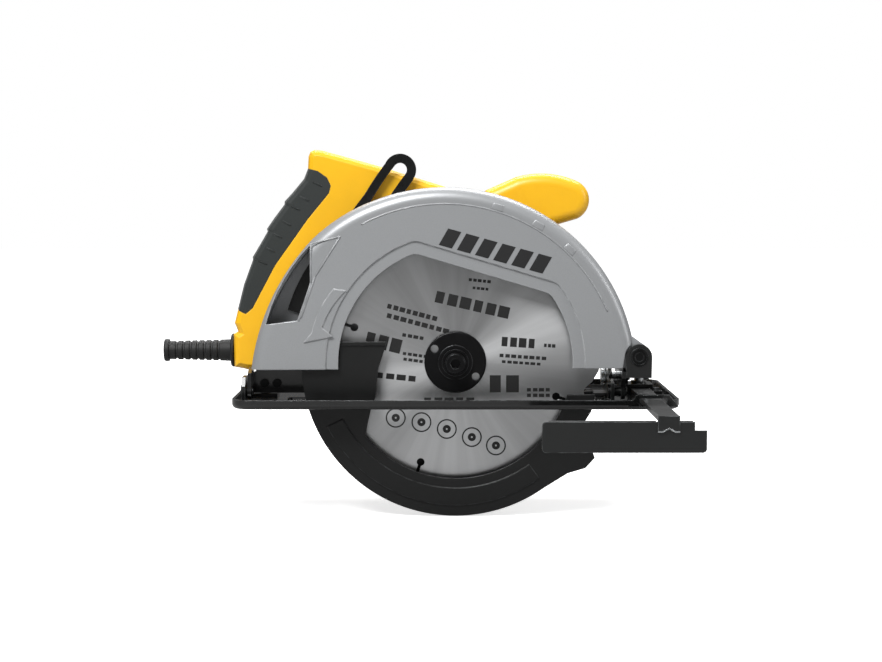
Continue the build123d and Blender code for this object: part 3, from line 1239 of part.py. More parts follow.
with BuildPart() as trigger:
    with BuildSketch(grip_axis):
        with BuildLine():
            Polyline((8, -TRIGGER_HALF), (-6, -TRIGGER_HALF))
            ThreePointArc((-6, -TRIGGER_HALF), (-8.5, 2), (-12, TRIGGER_HALF))
            Polyline((-12, TRIGGER_HALF), (8, TRIGGER_HALF), (8, -TRIGGER_HALF))
        make_face()
    extrude(amount=TRIGGER_WIDTH / 2, both=True)
    fillet(trigger.edges().filter_by(GeomType.CIRCLE), radius=2.0)
save(trigger, "trigger")

with BuildPart() as switch_block:
    with BuildSketch(grip_axis):
        with Locations((24.5, 0)):
            Rectangle(17, 30)
    extrude(amount=10, both=True)
save(switch_block, "switch_block")

with BuildPart() as lock_button:
    with BuildSketch(side(far_face + 3.2)):
        with Locations(BUTTON_AT):
            Circle(BUTTON_R)
    extrude(amount=9)
    chamfer(lock_button.faces().sort_by(Axis.Y)[-1].edges(), length=0.8)
save(lock_button, "lock_button")

with BuildPart() as sleeve:
    for x0, x1, r0, r1 in ((-137, -144.2, SLEEVE_R - 0.05, SLEEVE_R - 0.05),
                           (-144.2, -146.4, 11.0, 10.0), (-146.4, -187.0, 7.0, 5.9),
                           (-187.0, -190.4, 7.3, 7.3)):
        with BuildSketch(across(HANDLE_Y, x1, CORD_DZ)):
            Circle(r1)
        with BuildSketch(across(HANDLE_Y, x0, CORD_DZ)):
            Circle(r0)
        loft()
    with BuildSketch(across(HANDLE_Y, -192, CORD_DZ)):
        Circle(CORD_HOLE_R)
    extrude(amount=60, mode=Mode.SUBTRACT)
save(sleeve, "strain_relief")

# ---------------------------------------------------------------- front handle
KNOB_Y, KNOB_WIDTH = 45.0, 32.0
KNOB_ROUND = 7.0
with BuildPart() as front_handle:
    with BuildSketch(side(KNOB_Y + KNOB_WIDTH / 2)):
        with BuildLine():
            Polyline((SEAT_X, 104.0), (20.5, 109.2), (40.4, 117.9))
            ThreePointArc((40.4, 117.9), (59.5, 120.0), (79.8, 115.0))
            ThreePointArc((79.8, 115.0), (87.5, 103.0), (79.8, 90.7))
            Polyline((79.8, 90.7), (64.0, 86.0), (48.0, 76.0),
                     polar(BELL_R + 1.7, 31.7, 0, MOTOR_UP), (SEAT_X, seat_top), (SEAT_X, 104.0))
        make_face()
    extrude(amount=KNOB_WIDTH)
    fillet(front_handle.faces().sort_by(Axis.Y)[0].edges(), radius=KNOB_ROUND)
    fillet(front_handle.faces().sort_by(Axis.Y)[-1].edges(), radius=KNOB_ROUND)
    with BuildSketch(side(KNOB_Y + KNOB_WIDTH)):
        with Locations((0, MOTOR_UP)):
            Circle(BELL_R + MOTOR_CLEAR)
    extrude(amount=2 * KNOB_WIDTH, mode=Mode.SUBTRACT)
save(front_handle, "front_handle")

# ---------------------------------------------------------------- spindle lock
head_x = BELL_R - 0.5
with BuildPart() as spindle_lock:
    with BuildSketch(across(LOCK_Y, 12.4, 0)):
        Circle(LOCK_PIN_R)
    extrude(amount=head_x - 12.4)
    with BuildSketch(across(LOCK_Y, head_x, 0)):
        Circle(5.0)
    extrude(amount=5.5)
    chamfer(spindle_lock.faces().sort_by(Axis.X)[-1].edges(), length=0.8)
save(spindle_lock, "spindle_lock_button")
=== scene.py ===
"""Looks of a hand-held circular saw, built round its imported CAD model.

Metres, +X along the cut, +Y towards the motor, +Z up. Every sub-assembly is a class that makes its
own extra pieces and dresses its CAD nodes; every finish is a small frozen dataclass.
"""

import json
import logging
import math
from dataclasses import dataclass, field
from enum import Enum
from typing import Iterable, Sequence

import bmesh
import bpy
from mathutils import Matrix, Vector


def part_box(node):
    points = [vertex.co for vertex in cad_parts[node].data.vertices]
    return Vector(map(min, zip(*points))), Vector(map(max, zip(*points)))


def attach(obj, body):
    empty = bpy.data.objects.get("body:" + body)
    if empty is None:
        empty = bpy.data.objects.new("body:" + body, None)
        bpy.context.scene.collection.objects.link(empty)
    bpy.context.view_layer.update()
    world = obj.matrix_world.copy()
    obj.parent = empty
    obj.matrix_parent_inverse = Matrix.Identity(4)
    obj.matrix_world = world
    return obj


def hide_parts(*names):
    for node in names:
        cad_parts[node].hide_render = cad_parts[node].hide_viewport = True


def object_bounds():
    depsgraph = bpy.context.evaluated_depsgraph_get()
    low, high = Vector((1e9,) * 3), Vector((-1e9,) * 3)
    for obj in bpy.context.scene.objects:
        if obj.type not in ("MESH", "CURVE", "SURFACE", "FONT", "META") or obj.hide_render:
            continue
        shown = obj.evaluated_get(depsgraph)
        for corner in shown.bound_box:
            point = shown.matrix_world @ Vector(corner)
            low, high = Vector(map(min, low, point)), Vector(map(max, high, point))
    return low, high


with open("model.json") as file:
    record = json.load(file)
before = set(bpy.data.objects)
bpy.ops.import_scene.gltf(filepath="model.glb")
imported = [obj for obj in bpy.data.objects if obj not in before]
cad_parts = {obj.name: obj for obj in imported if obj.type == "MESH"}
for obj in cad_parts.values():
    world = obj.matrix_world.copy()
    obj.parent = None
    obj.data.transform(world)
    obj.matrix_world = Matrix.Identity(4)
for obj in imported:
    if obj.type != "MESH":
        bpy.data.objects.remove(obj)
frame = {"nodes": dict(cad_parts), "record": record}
CAD_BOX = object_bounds()

LOG = logging.getLogger("saw")
MM = 0.001
WAVES_PER_M = 0.314        # scale of a wave texture whose marks are a metre apart


def joint_place(name: str) -> Vector:
    """Place of a joint's axis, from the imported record."""
    joints = frame["record"]["behaviour"]["joints"]
    return Vector(next(j["pos_m"] for j in joints if j["name"] == name))


SPINDLE = joint_place("blade_spin")
MOTOR_AXIS = joint_place("armature_spin")
PIVOT = joint_place("depth")
ACROSS = Vector((0.0, 1.0, 0.0))


def at(x: float, y: float, z: float) -> Vector:
    """Point given in millimetres forward of, behind and above the middle of the blade's hub."""
    return SPINDLE + Vector((x, y, z)) * MM


def polar(radius: float, degrees: float, cx: float = 0.0, cz: float = 0.0) -> tuple[float, float]:
    """Point of a circle in the side view, in millimetres."""
    angle = math.radians(degrees)
    return (cx + radius * math.cos(angle), cz + radius * math.sin(angle))


# ------------------------------------------------------------------------------------ finishes


def linear(hex_colour: str) -> tuple[float, float, float, float]:
    """Turns an sRGB hex colour to linear.

    Args:
        hex_colour: six hex digits.

    Returns:
        Linear red, green, blue and an alpha of 1.
    """
    parts = [int(hex_colour[i:i + 2], 16) / 255 for i in (0, 2, 4)]
    return tuple(c / 12.92 if c <= 0.04045 else ((c + 0.055) / 1.055) ** 2.4 for c in parts) + (1.0,)


def add_node(tree: bpy.types.NodeTree, kind: str, settings: dict | None = None,
             sockets: dict | None = None) -> bpy.types.Node:
    """Adds one node with its settings and links.

    Args:
        tree: node tree that gets it.
        kind: Blender's name of the node type.
        settings: properties of the node.
        sockets: inputs by name or number, each a value or another node's output.

    Returns:
        The new node.
    """
    made = tree.nodes.new(kind)
    for name, value in (settings or {}).items():
        setattr(made, name, value)
    for name, value in (sockets or {}).items():
        if isinstance(value, bpy.types.NodeSocket):
            tree.links.new(value, made.inputs[name])
        else:
            made.inputs[name].default_value = value
    return made


class Lay(Enum):
    """Which way a machined surface's marks run."""

    TURNED = "RINGS"
    DRAWN = "BANDS"


@dataclass(frozen=True)
class Finish:
    """One surface finish; a kind of finish adds its own pattern in `pattern`.

    Args:
        name: material name.
        colour: sRGB hex of the surface.
        roughness: microscopic roughness of the middle of the surface.
        edge_mm: radius that light sees on the sharp edges.
        edge_colour: sRGB hex that shows where edges are rubbed, or empty.
        edge_wear: how strongly the rubbed edge shows, 0 to 1.
    """

    name: str
    colour: str
    roughness: float
    edge_mm: float = 0.5
    edge_colour: str = ""
    edge_wear: float = 0.6

    def material(self) -> bpy.types.Material:
        """Returns the material, made the first time it is asked for."""
        known = bpy.data.materials.get(self.name)
        if known is not None:
            return known
        made = bpy.data.materials.new(self.name)
        made.use_nodes = True
        made.diffuse_color = linear(self.colour)
        tree = made.node_tree
        tree.nodes.clear()
        shader = add_node(tree, "ShaderNodeBsdfPrincipled",
                          sockets={"Base Color": linear(self.colour), "Roughness": self.roughness})
        add_node(tree, "ShaderNodeOutputMaterial", sockets={"Surface": shader.outputs["BSDF"]})
        place = add_node(tree, "ShaderNodeTexCoord").outputs["Object"]
        round_edge = add_node(tree, "ShaderNodeBevel", {"samples": 6},
                              {"Radius": self.edge_mm * MM}).outputs["Normal"]
        tree.links.new(round_edge, shader.inputs["Normal"])
        self.pattern(tree, shader, place, round_edge)
        if self.edge_colour:
            self.rub_edges(tree, shader)
        return made

    def pattern(self, tree: bpy.types.NodeTree, shader: bpy.types.Node, place: bpy.types.NodeSocket,
                normal: bpy.types.NodeSocket) -> None:
        """Adds what is special to this kind of finish."""
        raise NotImplementedError

    def rub_edges(self, tree: bpy.types.NodeTree, shader: bpy.types.Node) -> None:
        """Lightens the outermost edges, broken up by a slow noise, where handling has rubbed them."""
        wide = add_node(tree, "ShaderNodeBevel", {"samples": 6}, {"Radius": 0.9 * MM})
        true = add_node(tree, "ShaderNodeNewGeometry")
        facing = add_node(tree, "ShaderNodeVectorMath", {"operation": "DOT_PRODUCT"},
                          {0: wide.outputs["Normal"], 1: true.outputs["Normal"]})
        place = add_node(tree, "ShaderNodeTexCoord").outputs["Object"]
        # rub marks come and go every 6 mm along an edge
        broken = add_node(tree, "ShaderNodeTexNoise", sockets={
            "Vector": place, "Scale": 1 / (6 * MM), "Detail": 4.0})
        amount = add_node(tree, "ShaderNodeMapRange", sockets={
            "Value": facing.outputs["Value"], "From Min": 0.985, "From Max": 0.86, "To Min": 0.0,
            "To Max": self.edge_wear})
        patches = add_node(tree, "ShaderNodeMapRange", sockets={
            "Value": broken.outputs["Fac"], "From Min": 0.38, "From Max": 0.62})
        worn = add_node(tree, "ShaderNodeMath", {"operation": "MULTIPLY", "use_clamp": True},
                        {0: amount.outputs["Result"], 1: patches.outputs["Result"]})
        base = shader.inputs["Base Color"]
        under = base.links[0].from_socket if base.is_linked else linear(self.colour)
        mixed = add_node(tree, "ShaderNodeMix", {"data_type": "RGBA"},
                         {0: worn.outputs["Value"], 6: under, 7: linear(self.edge_colour)})
        tree.links.new(mixed.outputs[2], base)


@dataclass(frozen=True)
class MouldedPlastic(Finish):
    """Injection-moulded plastic with a spark-eroded texture: soft sheen, fine grain, faint flow mottle."""

    grain_mm: float = 0.8
    grain_depth: float = 0.12
    mottle: float = 0.05
    ior: float = 1.53

    def pattern(self, tree: bpy.types.NodeTree, shader: bpy.types.Node, place: bpy.types.NodeSocket,
                normal: bpy.types.NodeSocket) -> None:
        """Grain from the mould (0.3 mm, drawn at grain_mm so that it shows) and 25 mm flow mottle."""
        shader.inputs["IOR"].default_value = self.ior
        grain = add_node(tree, "ShaderNodeTexNoise", sockets={
            "Vector": place, "Scale": 1 / (self.grain_mm * MM), "Detail": 3.0, "Roughness": 0.6})
        bump = add_node(tree, "ShaderNodeBump", sockets={
            "Strength": self.grain_depth, "Distance": 0.1 * MM, "Height": grain.outputs["Fac"],
            "Normal": normal})
        tree.links.new(bump.outputs["Normal"], shader.inputs["Normal"])
        flow = add_node(tree, "ShaderNodeTexNoise", sockets={
            "Vector": place, "Scale": 1 / (25 * MM), "Detail": 5.0, "Roughness": 0.55})
        value = add_node(tree, "ShaderNodeMapRange", sockets={
            "Value": flow.outputs["Fac"], "From Min": 0.3, "From Max": 0.7, "To Min": 1 - self.mottle,
            "To Max": 1 + self.mottle})
        tone = add_node(tree, "ShaderNodeHueSaturation", sockets={
            "Color": linear(self.colour), "Value": value.outputs["Result"]})
        tree.links.new(tone.outputs["Color"], shader.inputs["Base Color"])
        rough = add_node(tree, "ShaderNodeMapRange", sockets={
            "Value": grain.outputs["Fac"], "From Min": 0.3, "From Max": 0.7, "To Min": self.roughness - 0.05,
            "To Max": self.roughness + 0.07})
        tree.links.new(rough.outputs["Result"], shader.inputs["Roughness"])


@dataclass(frozen=True)
class SoftRubber(MouldedPlastic):
    """Over-moulded thermoplastic rubber: matt, a dusty sheen at grazing angles."""

    sheen: float = 0.25

    def pattern(self, tree: bpy.types.NodeTree, shader: bpy.types.Node, place: bpy.types.NodeSocket,
                normal: bpy.types.NodeSocket) -> None:
        """Moulded grain, with a sheen on top."""
        MouldedPlastic.pattern(self, tree, shader, place, normal)
        shader.inputs["Sheen Weight"].default_value = self.sheen
        shader.inputs["Sheen Roughness"].default_value = 0.45


@dataclass(frozen=True)
class Enamel(Finish):
    """Stoved enamel on pressed steel: a clear gloss over dark paint with a slight orange peel."""

    coat: float = 0.6
    coat_roughness: float = 0.08
    peel_mm: float = 2.2
    peel_depth: float = 0.14

    def pattern(self, tree: bpy.types.NodeTree, shader: bpy.types.Node, place: bpy.types.NodeSocket,
                normal: bpy.types.NodeSocket) -> None:
        """Orange peel, a few millimetres across, and faint handling haze in the gloss."""
        shader.inputs["IOR"].default_value = 1.5
        shader.inputs["Coat Weight"].default_value = self.coat
        shader.inputs["Coat Roughness"].default_value = self.coat_roughness
        peel = add_node(tree, "ShaderNodeTexNoise", sockets={
            "Vector": place, "Scale": 1 / (self.peel_mm * MM), "Detail": 2.0, "Roughness": 0.5})
        bump = add_node(tree, "ShaderNodeBump", sockets={
            "Strength": self.peel_depth, "Distance": 0.12 * MM, "Height": peel.outputs["Fac"],
            "Normal": normal})
        tree.links.new(bump.outputs["Normal"], shader.inputs["Normal"])
        haze = add_node(tree, "ShaderNodeTexNoise", sockets={
            "Vector": place, "Scale": 1 / (30 * MM), "Detail": 8.0, "Roughness": 0.7})
        rough = add_node(tree, "ShaderNodeMapRange", sockets={
            "Value": haze.outputs["Fac"], "From Min": 0.35, "From Max": 0.7, "To Min": self.roughness - 0.04,
            "To Max": self.roughness + 0.1})
        tree.links.new(rough.outputs["Result"], shader.inputs["Roughness"])


@dataclass(frozen=True)
class CastingPaint(Finish):
    """Silver-grey stoved paint with aluminium flake on a die casting: satin, with a fine sparkle."""

    metallic: float = 0.35
    flake_mm: float = 0.5

    def pattern(self, tree: bpy.types.NodeTree, shader: bpy.types.Node, place: bpy.types.NodeSocket,
                normal: bpy.types.NodeSocket) -> None:
        """Flakes (0.05 mm, drawn at flake_mm) that vary tone and gloss, and the casting's 5 mm ripple."""
        shader.inputs["Metallic"].default_value = self.metallic
        flakes = add_node(tree, "ShaderNodeTexVoronoi", sockets={
            "Vector": place, "Scale": 1 / (self.flake_mm * MM)})
        tone = add_node(tree, "ShaderNodeMapRange", sockets={
            "Value": flakes.outputs["Distance"], "From Min": 0.0, "From Max": 0.8, "To Min": 1.04,
            "To Max": 0.95})
        colour = add_node(tree, "ShaderNodeHueSaturation", sockets={
            "Color": linear(self.colour), "Value": tone.outputs["Result"]})
        tree.links.new(colour.outputs["Color"], shader.inputs["Base Color"])
        rough = add_node(tree, "ShaderNodeMapRange", sockets={
            "Value": flakes.outputs["Distance"], "From Max": 0.8, "To Min": self.roughness - 0.06,
            "To Max": self.roughness + 0.06})
        tree.links.new(rough.outputs["Result"], shader.inputs["Roughness"])
        ripple = add_node(tree, "ShaderNodeTexNoise", sockets={
            "Vector": place, "Scale": 1 / (5 * MM), "Detail": 6.0, "Roughness": 0.6})
        bump = add_node(tree, "ShaderNodeBump", sockets={
            "Strength": 0.1, "Distance": 0.15 * MM, "Height": ripple.outputs["Fac"], "Normal": normal})
        tree.links.new(bump.outputs["Normal"], shader.inputs["Normal"])


@dataclass(frozen=True)
class MachinedMetal(Finish):
    """Bare or plated metal with tool marks: turned rings about an axis, or drawn lines along one."""

    metallic: float = 1.0
    lay: Lay = Lay.DRAWN
    mark_mm: float = 0.5
    centre: tuple[float, float, float] = (0.0, 0.0, 0.0)
    marks: float = 0.25

    def pattern(self, tree: bpy.types.NodeTree, shader: bpy.types.Node, place: bpy.types.NodeSocket,
                normal: bpy.types.NodeSocket) -> None:
        """Tool marks mark_mm apart, wandering a little, and stains every few millimetres."""
        shader.inputs["Metallic"].default_value = self.metallic
        centred = add_node(tree, "ShaderNodeMapping", {"vector_type": "POINT"}, {
            "Vector": place, "Location": tuple(-c for c in self.centre)})
        settings = {"wave_type": self.lay.value}
        settings["rings_direction" if self.lay is Lay.TURNED else "bands_direction"] = "Y"
        lines = add_node(tree, "ShaderNodeTexWave", settings, {
            "Vector": centred.outputs["Vector"], "Scale": WAVES_PER_M / (self.mark_mm * MM),
            "Distortion": 1.5, "Detail": 2.0})
        bump = add_node(tree, "ShaderNodeBump", sockets={
            "Strength": self.marks, "Distance": 0.05 * MM, "Height": lines.outputs["Fac"], "Normal": normal})
        tree.links.new(bump.outputs["Normal"], shader.inputs["Normal"])
        stain = add_node(tree, "ShaderNodeTexNoise", sockets={
            "Vector": place, "Scale": 1 / (7 * MM), "Detail": 6.0, "Roughness": 0.65})
        value = add_node(tree, "ShaderNodeMapRange", sockets={
            "Value": stain.outputs["Fac"], "From Min": 0.3, "From Max": 0.7, "To Min": 0.88, "To Max": 1.08})
        colour = add_node(tree, "ShaderNodeHueSaturation", sockets={
            "Color": linear(self.colour), "Value": value.outputs["Result"]})
        tree.links.new(colour.outputs["Color"], shader.inputs["Base Color"])
        rough = add_node(tree, "ShaderNodeMapRange", sockets={
            "Value": stain.outputs["Fac"], "From Min": 0.3, "From Max": 0.7, "To Min": self.roughness - 0.06,
            "To Max": self.roughness + 0.1})
        tree.links.new(rough.outputs["Result"], shader.inputs["Roughness"])


@dataclass(frozen=True)
class GroundDisc(Finish):
    """Blade plate ground on a turntable: fine rings, painted sheen in radial bands, painted light below the
    hub.
    """

    # scale of the painted sheen: bright and dark radial bands in the colour
    rays: float = 1.98

    def pattern(self, tree: bpy.types.NodeTree, shader: bpy.types.Node, place: bpy.types.NodeSocket,
                normal: bpy.types.NodeSocket) -> None:
        """Rings 0.1 mm apart, drawn at 0.6 mm; painted sheen in soft radial bands; painted light below the
        hub.
        """
        shader.inputs["Metallic"].default_value = 1.0
        shader.inputs["Anisotropic"].default_value = 0.75
        centred = add_node(tree, "ShaderNodeMapping", {"vector_type": "POINT"},
                           {"Vector": place, "Location": tuple(-SPINDLE)})
        along = add_node(tree, "ShaderNodeVectorMath", {"operation": "CROSS_PRODUCT"},
                         {0: centred.outputs["Vector"], 1: (0.0, 1.0, 0.0)})
        tangent = add_node(tree, "ShaderNodeVectorMath", {"operation": "NORMALIZE"},
                           {0: along.outputs["Vector"]})
        tree.links.new(tangent.outputs["Vector"], shader.inputs["Tangent"])
        split = add_node(tree, "ShaderNodeSeparateXYZ", sockets={"Vector": centred.outputs["Vector"]})
        angle = add_node(tree, "ShaderNodeMath", {"operation": "ARCTAN2"},
                         {0: split.outputs["Z"], 1: split.outputs["X"]})
        round_place = add_node(tree, "ShaderNodeVectorMath", {"operation": "NORMALIZE"},
                               {0: centred.outputs["Vector"]})
        # painted sheen: bright and dark radial bands painted into the colour, where ground steel would catch
        # the light
        painted_ray_sheen = add_node(tree, "ShaderNodeTexNoise", sockets={
            "Vector": round_place.outputs["Vector"], "Scale": self.rays, "Detail": 6.0, "Roughness": 0.6})
        rings = add_node(tree, "ShaderNodeTexWave", {"wave_type": "RINGS", "rings_direction": "Y"}, {
            "Vector": centred.outputs["Vector"], "Scale": WAVES_PER_M / (0.6 * MM), "Distortion": 3.0,
            "Detail": 3.0})
        # painted light and shade: the plate is painted brighter below the hub and darker above it; this turns
        # with the blade
        painted_light_below_hub = add_node(tree, "ShaderNodeMath", {"operation": "SINE"}, {0: angle.outputs["Value"]})
        # sheen here holds the painted sheen and the painted light together, added into the colour
        sheen = add_node(tree, "ShaderNodeMath", {"operation": "MULTIPLY_ADD"},
                         {0: painted_light_below_hub.outputs["Value"], 1: -0.09, 2: painted_ray_sheen.outputs["Fac"]})
        value = add_node(tree, "ShaderNodeMapRange", sockets={
            "Value": sheen.outputs["Value"], "From Min": 0.3, "From Max": 0.7, "To Min": 0.72,
            "To Max": 1.16})
        fine = add_node(tree, "ShaderNodeMath", {"operation": "MULTIPLY_ADD"},
                        {0: rings.outputs["Fac"], 1: 0.1, 2: value.outputs["Result"]})
        colour = add_node(tree, "ShaderNodeHueSaturation", sockets={
            "Color": linear(self.colour), "Value": fine.outputs["Value"]})
        tree.links.new(colour.outputs["Color"], shader.inputs["Base Color"])
        bump = add_node(tree, "ShaderNodeBump", sockets={
            "Strength": 0.08, "Distance": 0.05 * MM, "Height": rings.outputs["Fac"], "Normal": normal})
        tree.links.new(bump.outputs["Normal"], shader.inputs["Normal"])


@dataclass(frozen=True)
class StackedSheet(Finish):
    """Sheet or wire laid side by side: laminations 0.5 mm thick or winding wire, seen as fine lines."""

    metallic: float = 1.0
    pitch_mm: float = 1.0
    direction: str = "Y"

    def pattern(self, tree: bpy.types.NodeTree, shader: bpy.types.Node, place: bpy.types.NodeSocket,
                normal: bpy.types.NodeSocket) -> None:
        """Edges of the layers as grooves, pitch_mm apart."""
        shader.inputs["Metallic"].default_value = self.metallic
        settings = {"wave_type": "BANDS", "bands_direction": self.direction}
        layers = add_node(tree, "ShaderNodeTexWave", settings, {
            "Vector": place, "Scale": WAVES_PER_M / (self.pitch_mm * MM), "Distortion": 0.4, "Detail": 1.0})
        bump = add_node(tree, "ShaderNodeBump", sockets={
            "Strength": 0.7, "Distance": 0.15 * MM, "Height": layers.outputs["Fac"], "Normal": normal})
        tree.links.new(bump.outputs["Normal"], shader.inputs["Normal"])
        dark = add_node(tree, "ShaderNodeMapRange", sockets={
            "Value": layers.outputs["Fac"], "From Max": 0.5, "To Min": 0.55, "To Max": 1.0})
        colour = add_node(tree, "ShaderNodeHueSaturation", sockets={
            "Color": linear(self.colour), "Value": dark.outputs["Result"]})
        tree.links.new(colour.outputs["Color"], shader.inputs["Base Color"])


YELLOW = MouldedPlastic("yellow_nylon_moulded", "FFC21A", 0.34, edge_mm=1.0, edge_colour="FFD873",
                        edge_wear=0.35)
BLACK_NYLON = MouldedPlastic("black_nylon_moulded", "0E0F10", 0.42, edge_mm=0.6, edge_colour="4A4C4E",
                             edge_wear=0.4)
DUCT = MouldedPlastic("black_duct_plastic_moulded", "151616", 0.5)
SWITCH = MouldedPlastic("phenolic_switch_body_moulded", "2A2A2C", 0.5)
FAN = MouldedPlastic("glass_filled_nylon_fan", "34363A", 0.45)
GRIP = SoftRubber("grip_rubber_overmoulded", "232827", 0.62, edge_mm=0.8, grain_mm=0.6, grain_depth=0.2)
SLEEVE = SoftRubber("sleeve_rubber_moulded", "0A0B0B", 0.6, edge_mm=0.5, grain_mm=0.7, sheen=0.05)
SHOE_ENAMEL = Enamel("gloss_black_enamel_on_pressed_steel", "070808", 0.2, edge_mm=0.8, edge_colour="8B8F90",
                     edge_wear=0.5)
BRACKET_ENAMEL = Enamel("black_enamel_on_bracket_steel", "070808", 0.3, edge_mm=0.5, edge_colour="6F7374",
                        edge_wear=0.4)
FENCE_ENAMEL = Enamel("satin_black_enamel_on_fence_steel", "0E1010", 0.38, coat=0.25, edge_colour="9A9E9F",
                      edge_wear=0.5)
LOWER_ENAMEL = Enamel("satin_black_enamel_on_guard_casting", "080909", 0.42, coat=0.0, peel_mm=1.6,
                      edge_mm=0.9, edge_colour="6A6E6F", edge_wear=0.45)
GUARD_PAINT = CastingPaint("silver_grey_paint_on_die_casting", "A8AAAC", 0.36, edge_mm=1.0,
                           edge_colour="E4E6E8", edge_wear=0.8)
CASE_METAL = CastingPaint("bare_die_cast_aluminium", "B4B6B7", 0.45, metallic=0.9, flake_mm=0.8)
PANEL_INK = MouldedPlastic("black_screen_print_on_paint", "19191A", 0.5, edge_mm=0.1, grain_mm=0.5)
BLADE_INK = MouldedPlastic("black_screen_print_on_steel", "1C1C1C", 0.42, edge_mm=0.1, grain_mm=0.5)
BLADE_STEEL = GroundDisc("circular_ground_blade_steel", "CCCDCE", 0.36, edge_mm=0.2)
CARBIDE = MachinedMetal("ground_tungsten_carbide", "8E8F8E", 0.3, edge_mm=0.15)
ZINC = MachinedMetal("bright_zinc_plated_steel", "C7CACC", 0.26, edge_mm=0.3, mark_mm=0.7, marks=0.12)
OXIDE = MachinedMetal("black_oxide_turned_steel", "1A1A1B", 0.34, edge_mm=0.4, metallic=0.75, lay=Lay.TURNED,
                      mark_mm=0.9, centre=tuple(SPINDLE), marks=0.35, edge_colour="77797B", edge_wear=0.5)
PIN_OXIDE = MachinedMetal("black_oxide_pivot_steel", "171818", 0.32, edge_mm=0.4, metallic=0.6,
                          lay=Lay.TURNED, mark_mm=1.1, centre=tuple(PIVOT), marks=0.3,
                          edge_colour="77797B", edge_wear=0.4)
BEARING = MachinedMetal("ground_bearing_steel", "C4C6C8", 0.18, edge_mm=0.3, lay=Lay.TURNED, mark_mm=0.4,
                        centre=tuple(SPINDLE), marks=0.1)
GEAR = MachinedMetal("hobbed_gear_steel", "9A9B9C", 0.3, edge_mm=0.2, mark_mm=0.5)
SPRING = MachinedMetal("oil_tempered_spring_steel", "6D6E70", 0.3, edge_mm=0.1, mark_mm=0.3)
BRASS = MachinedMetal("drawn_brass", "D5B06A", 0.3, edge_mm=0.2)
CARBON = MachinedMetal("pressed_carbon", "2B2B2B", 0.7, edge_mm=0.2, metallic=0.0)
LAMINATION = StackedSheet("stacked_lamination_steel", "77787A", 0.45, edge_mm=0.2)
COPPER = StackedSheet("enamelled_copper_wire", "B8692F", 0.32, edge_mm=0.3, pitch_mm=1.2)


def dress(finish: Finish, *nodes: str) -> None:
    """Gives CAD nodes a finish, on each of their material slots.

    Args:
        finish: the finish.
        nodes: CAD node names.
    """
    for name in nodes:
        for slot in frame["nodes"][name].material_slots:
            slot.material = finish.material()


# ------------------------------------------------------------------------------------ shared mesh work


@dataclass
class Piece:
    """A new mesh piece in the making, in metres and in the frame's own place."""

    name: str
    body: str
    finish: Finish
    slot: str
    mesh: bmesh.types.BMesh = field(default_factory=bmesh.new)

    def plate(self, outline: Sequence[Vector], depth: Vector) -> None:
        """Adds a solid plate: a closed outline pushed along `depth`.

        Args:
            outline: corners of the outline, in order.
            depth: how far and which way it is pushed.
        """
        face = self.mesh.faces.new([self.mesh.verts.new(corner) for corner in outline])
        pushed = bmesh.ops.extrude_face_region(self.mesh, geom=[face], use_keep_orig=True)
        moved = [v for v in pushed["geom"] if isinstance(v, bmesh.types.BMVert)]
        bmesh.ops.translate(self.mesh, verts=moved, vec=depth)

    def turn(self, profile: Sequence[tuple[float, float]], centre: Vector, axis: Vector, outward: Vector,
             sweep: float = 360.0, steps: int = 64, closed: bool = False) -> None:
        """Spins a profile about an axis.

        Args:
            profile: (radius, distance along the axis) in millimetres.
            centre: point on the axis that distances are counted from.
            axis: direction of the axis.
            outward: direction in which the radius is drawn.
            sweep: angle of the spin in degrees.
            steps: how many segments the spin has.
            closed: the profile is a loop.
        """
        points = [self.mesh.verts.new(centre + outward * (r * MM) + axis * (d * MM)) for r, d in profile]
        pairs = list(zip(points, points[1:])) + ([(points[-1], points[0])] if closed else [])
        edges = [self.mesh.edges.new(pair) for pair in pairs]
        full = abs(sweep) >= 360.0
        bmesh.ops.spin(self.mesh, geom=points + edges, cent=centre, axis=axis, angle=math.radians(sweep),
                       steps=steps, use_merge=full, use_duplicate=False)

    def round_edges(self, width_mm: float, segments: int = 3, sharper: float = 30.0) -> None:
        """Bevels the edges whose faces meet at more than `sharper` degrees."""
        self.close()
        limit = math.radians(sharper)
        edges = [e for e in self.mesh.edges if len(e.link_faces) == 2 and e.calc_face_angle() > limit]
        bmesh.ops.bevel(self.mesh, geom=edges, offset=width_mm * MM, offset_type="OFFSET", affect="EDGES",
                        segments=segments, profile=0.5, material=-1, clamp_overlap=True)

    def close(self) -> None:
        """Merges doubles and points the faces outwards."""
        bmesh.ops.remove_doubles(self.mesh, verts=self.mesh.verts, dist=1e-6)
        bmesh.ops.recalc_face_normals(self.mesh, faces=self.mesh.faces)

    def finished(self, replaces: Iterable[str] = (), smooth: float = 35.0) -> bpy.types.Object:
        """Makes the object and ties it to the frame.

        Args:
            replaces: CAD nodes that it stands for.
            smooth: faces that meet at less than this angle are shaded as one surface.

        Returns:
            The new object.
        """
        self.close()
        data = bpy.data.meshes.new(self.name)
        self.mesh.to_mesh(data)
        self.mesh.free()
        data.materials.append(self.finish.material())
        made = bpy.data.objects.new(self.name, data)
        bpy.context.scene.collection.objects.link(made)
        data.shade_smooth()
        data.set_sharp_from_angle(angle=math.radians(smooth))
        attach(made, self.body)
        for node in replaces:
            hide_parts(node)
        LOG.info("piece %s on %s, %d faces", self.name, self.body, len(data.polygons))
        return made


def sloping_axes(degrees: float) -> tuple[Vector, Vector]:
    """Directions along and across a line that slopes by `degrees` in the side view."""
    turn = math.radians(degrees)
    return Vector((math.cos(turn), 0, math.sin(turn))), Vector((-math.sin(turn), 0, math.cos(turn)))


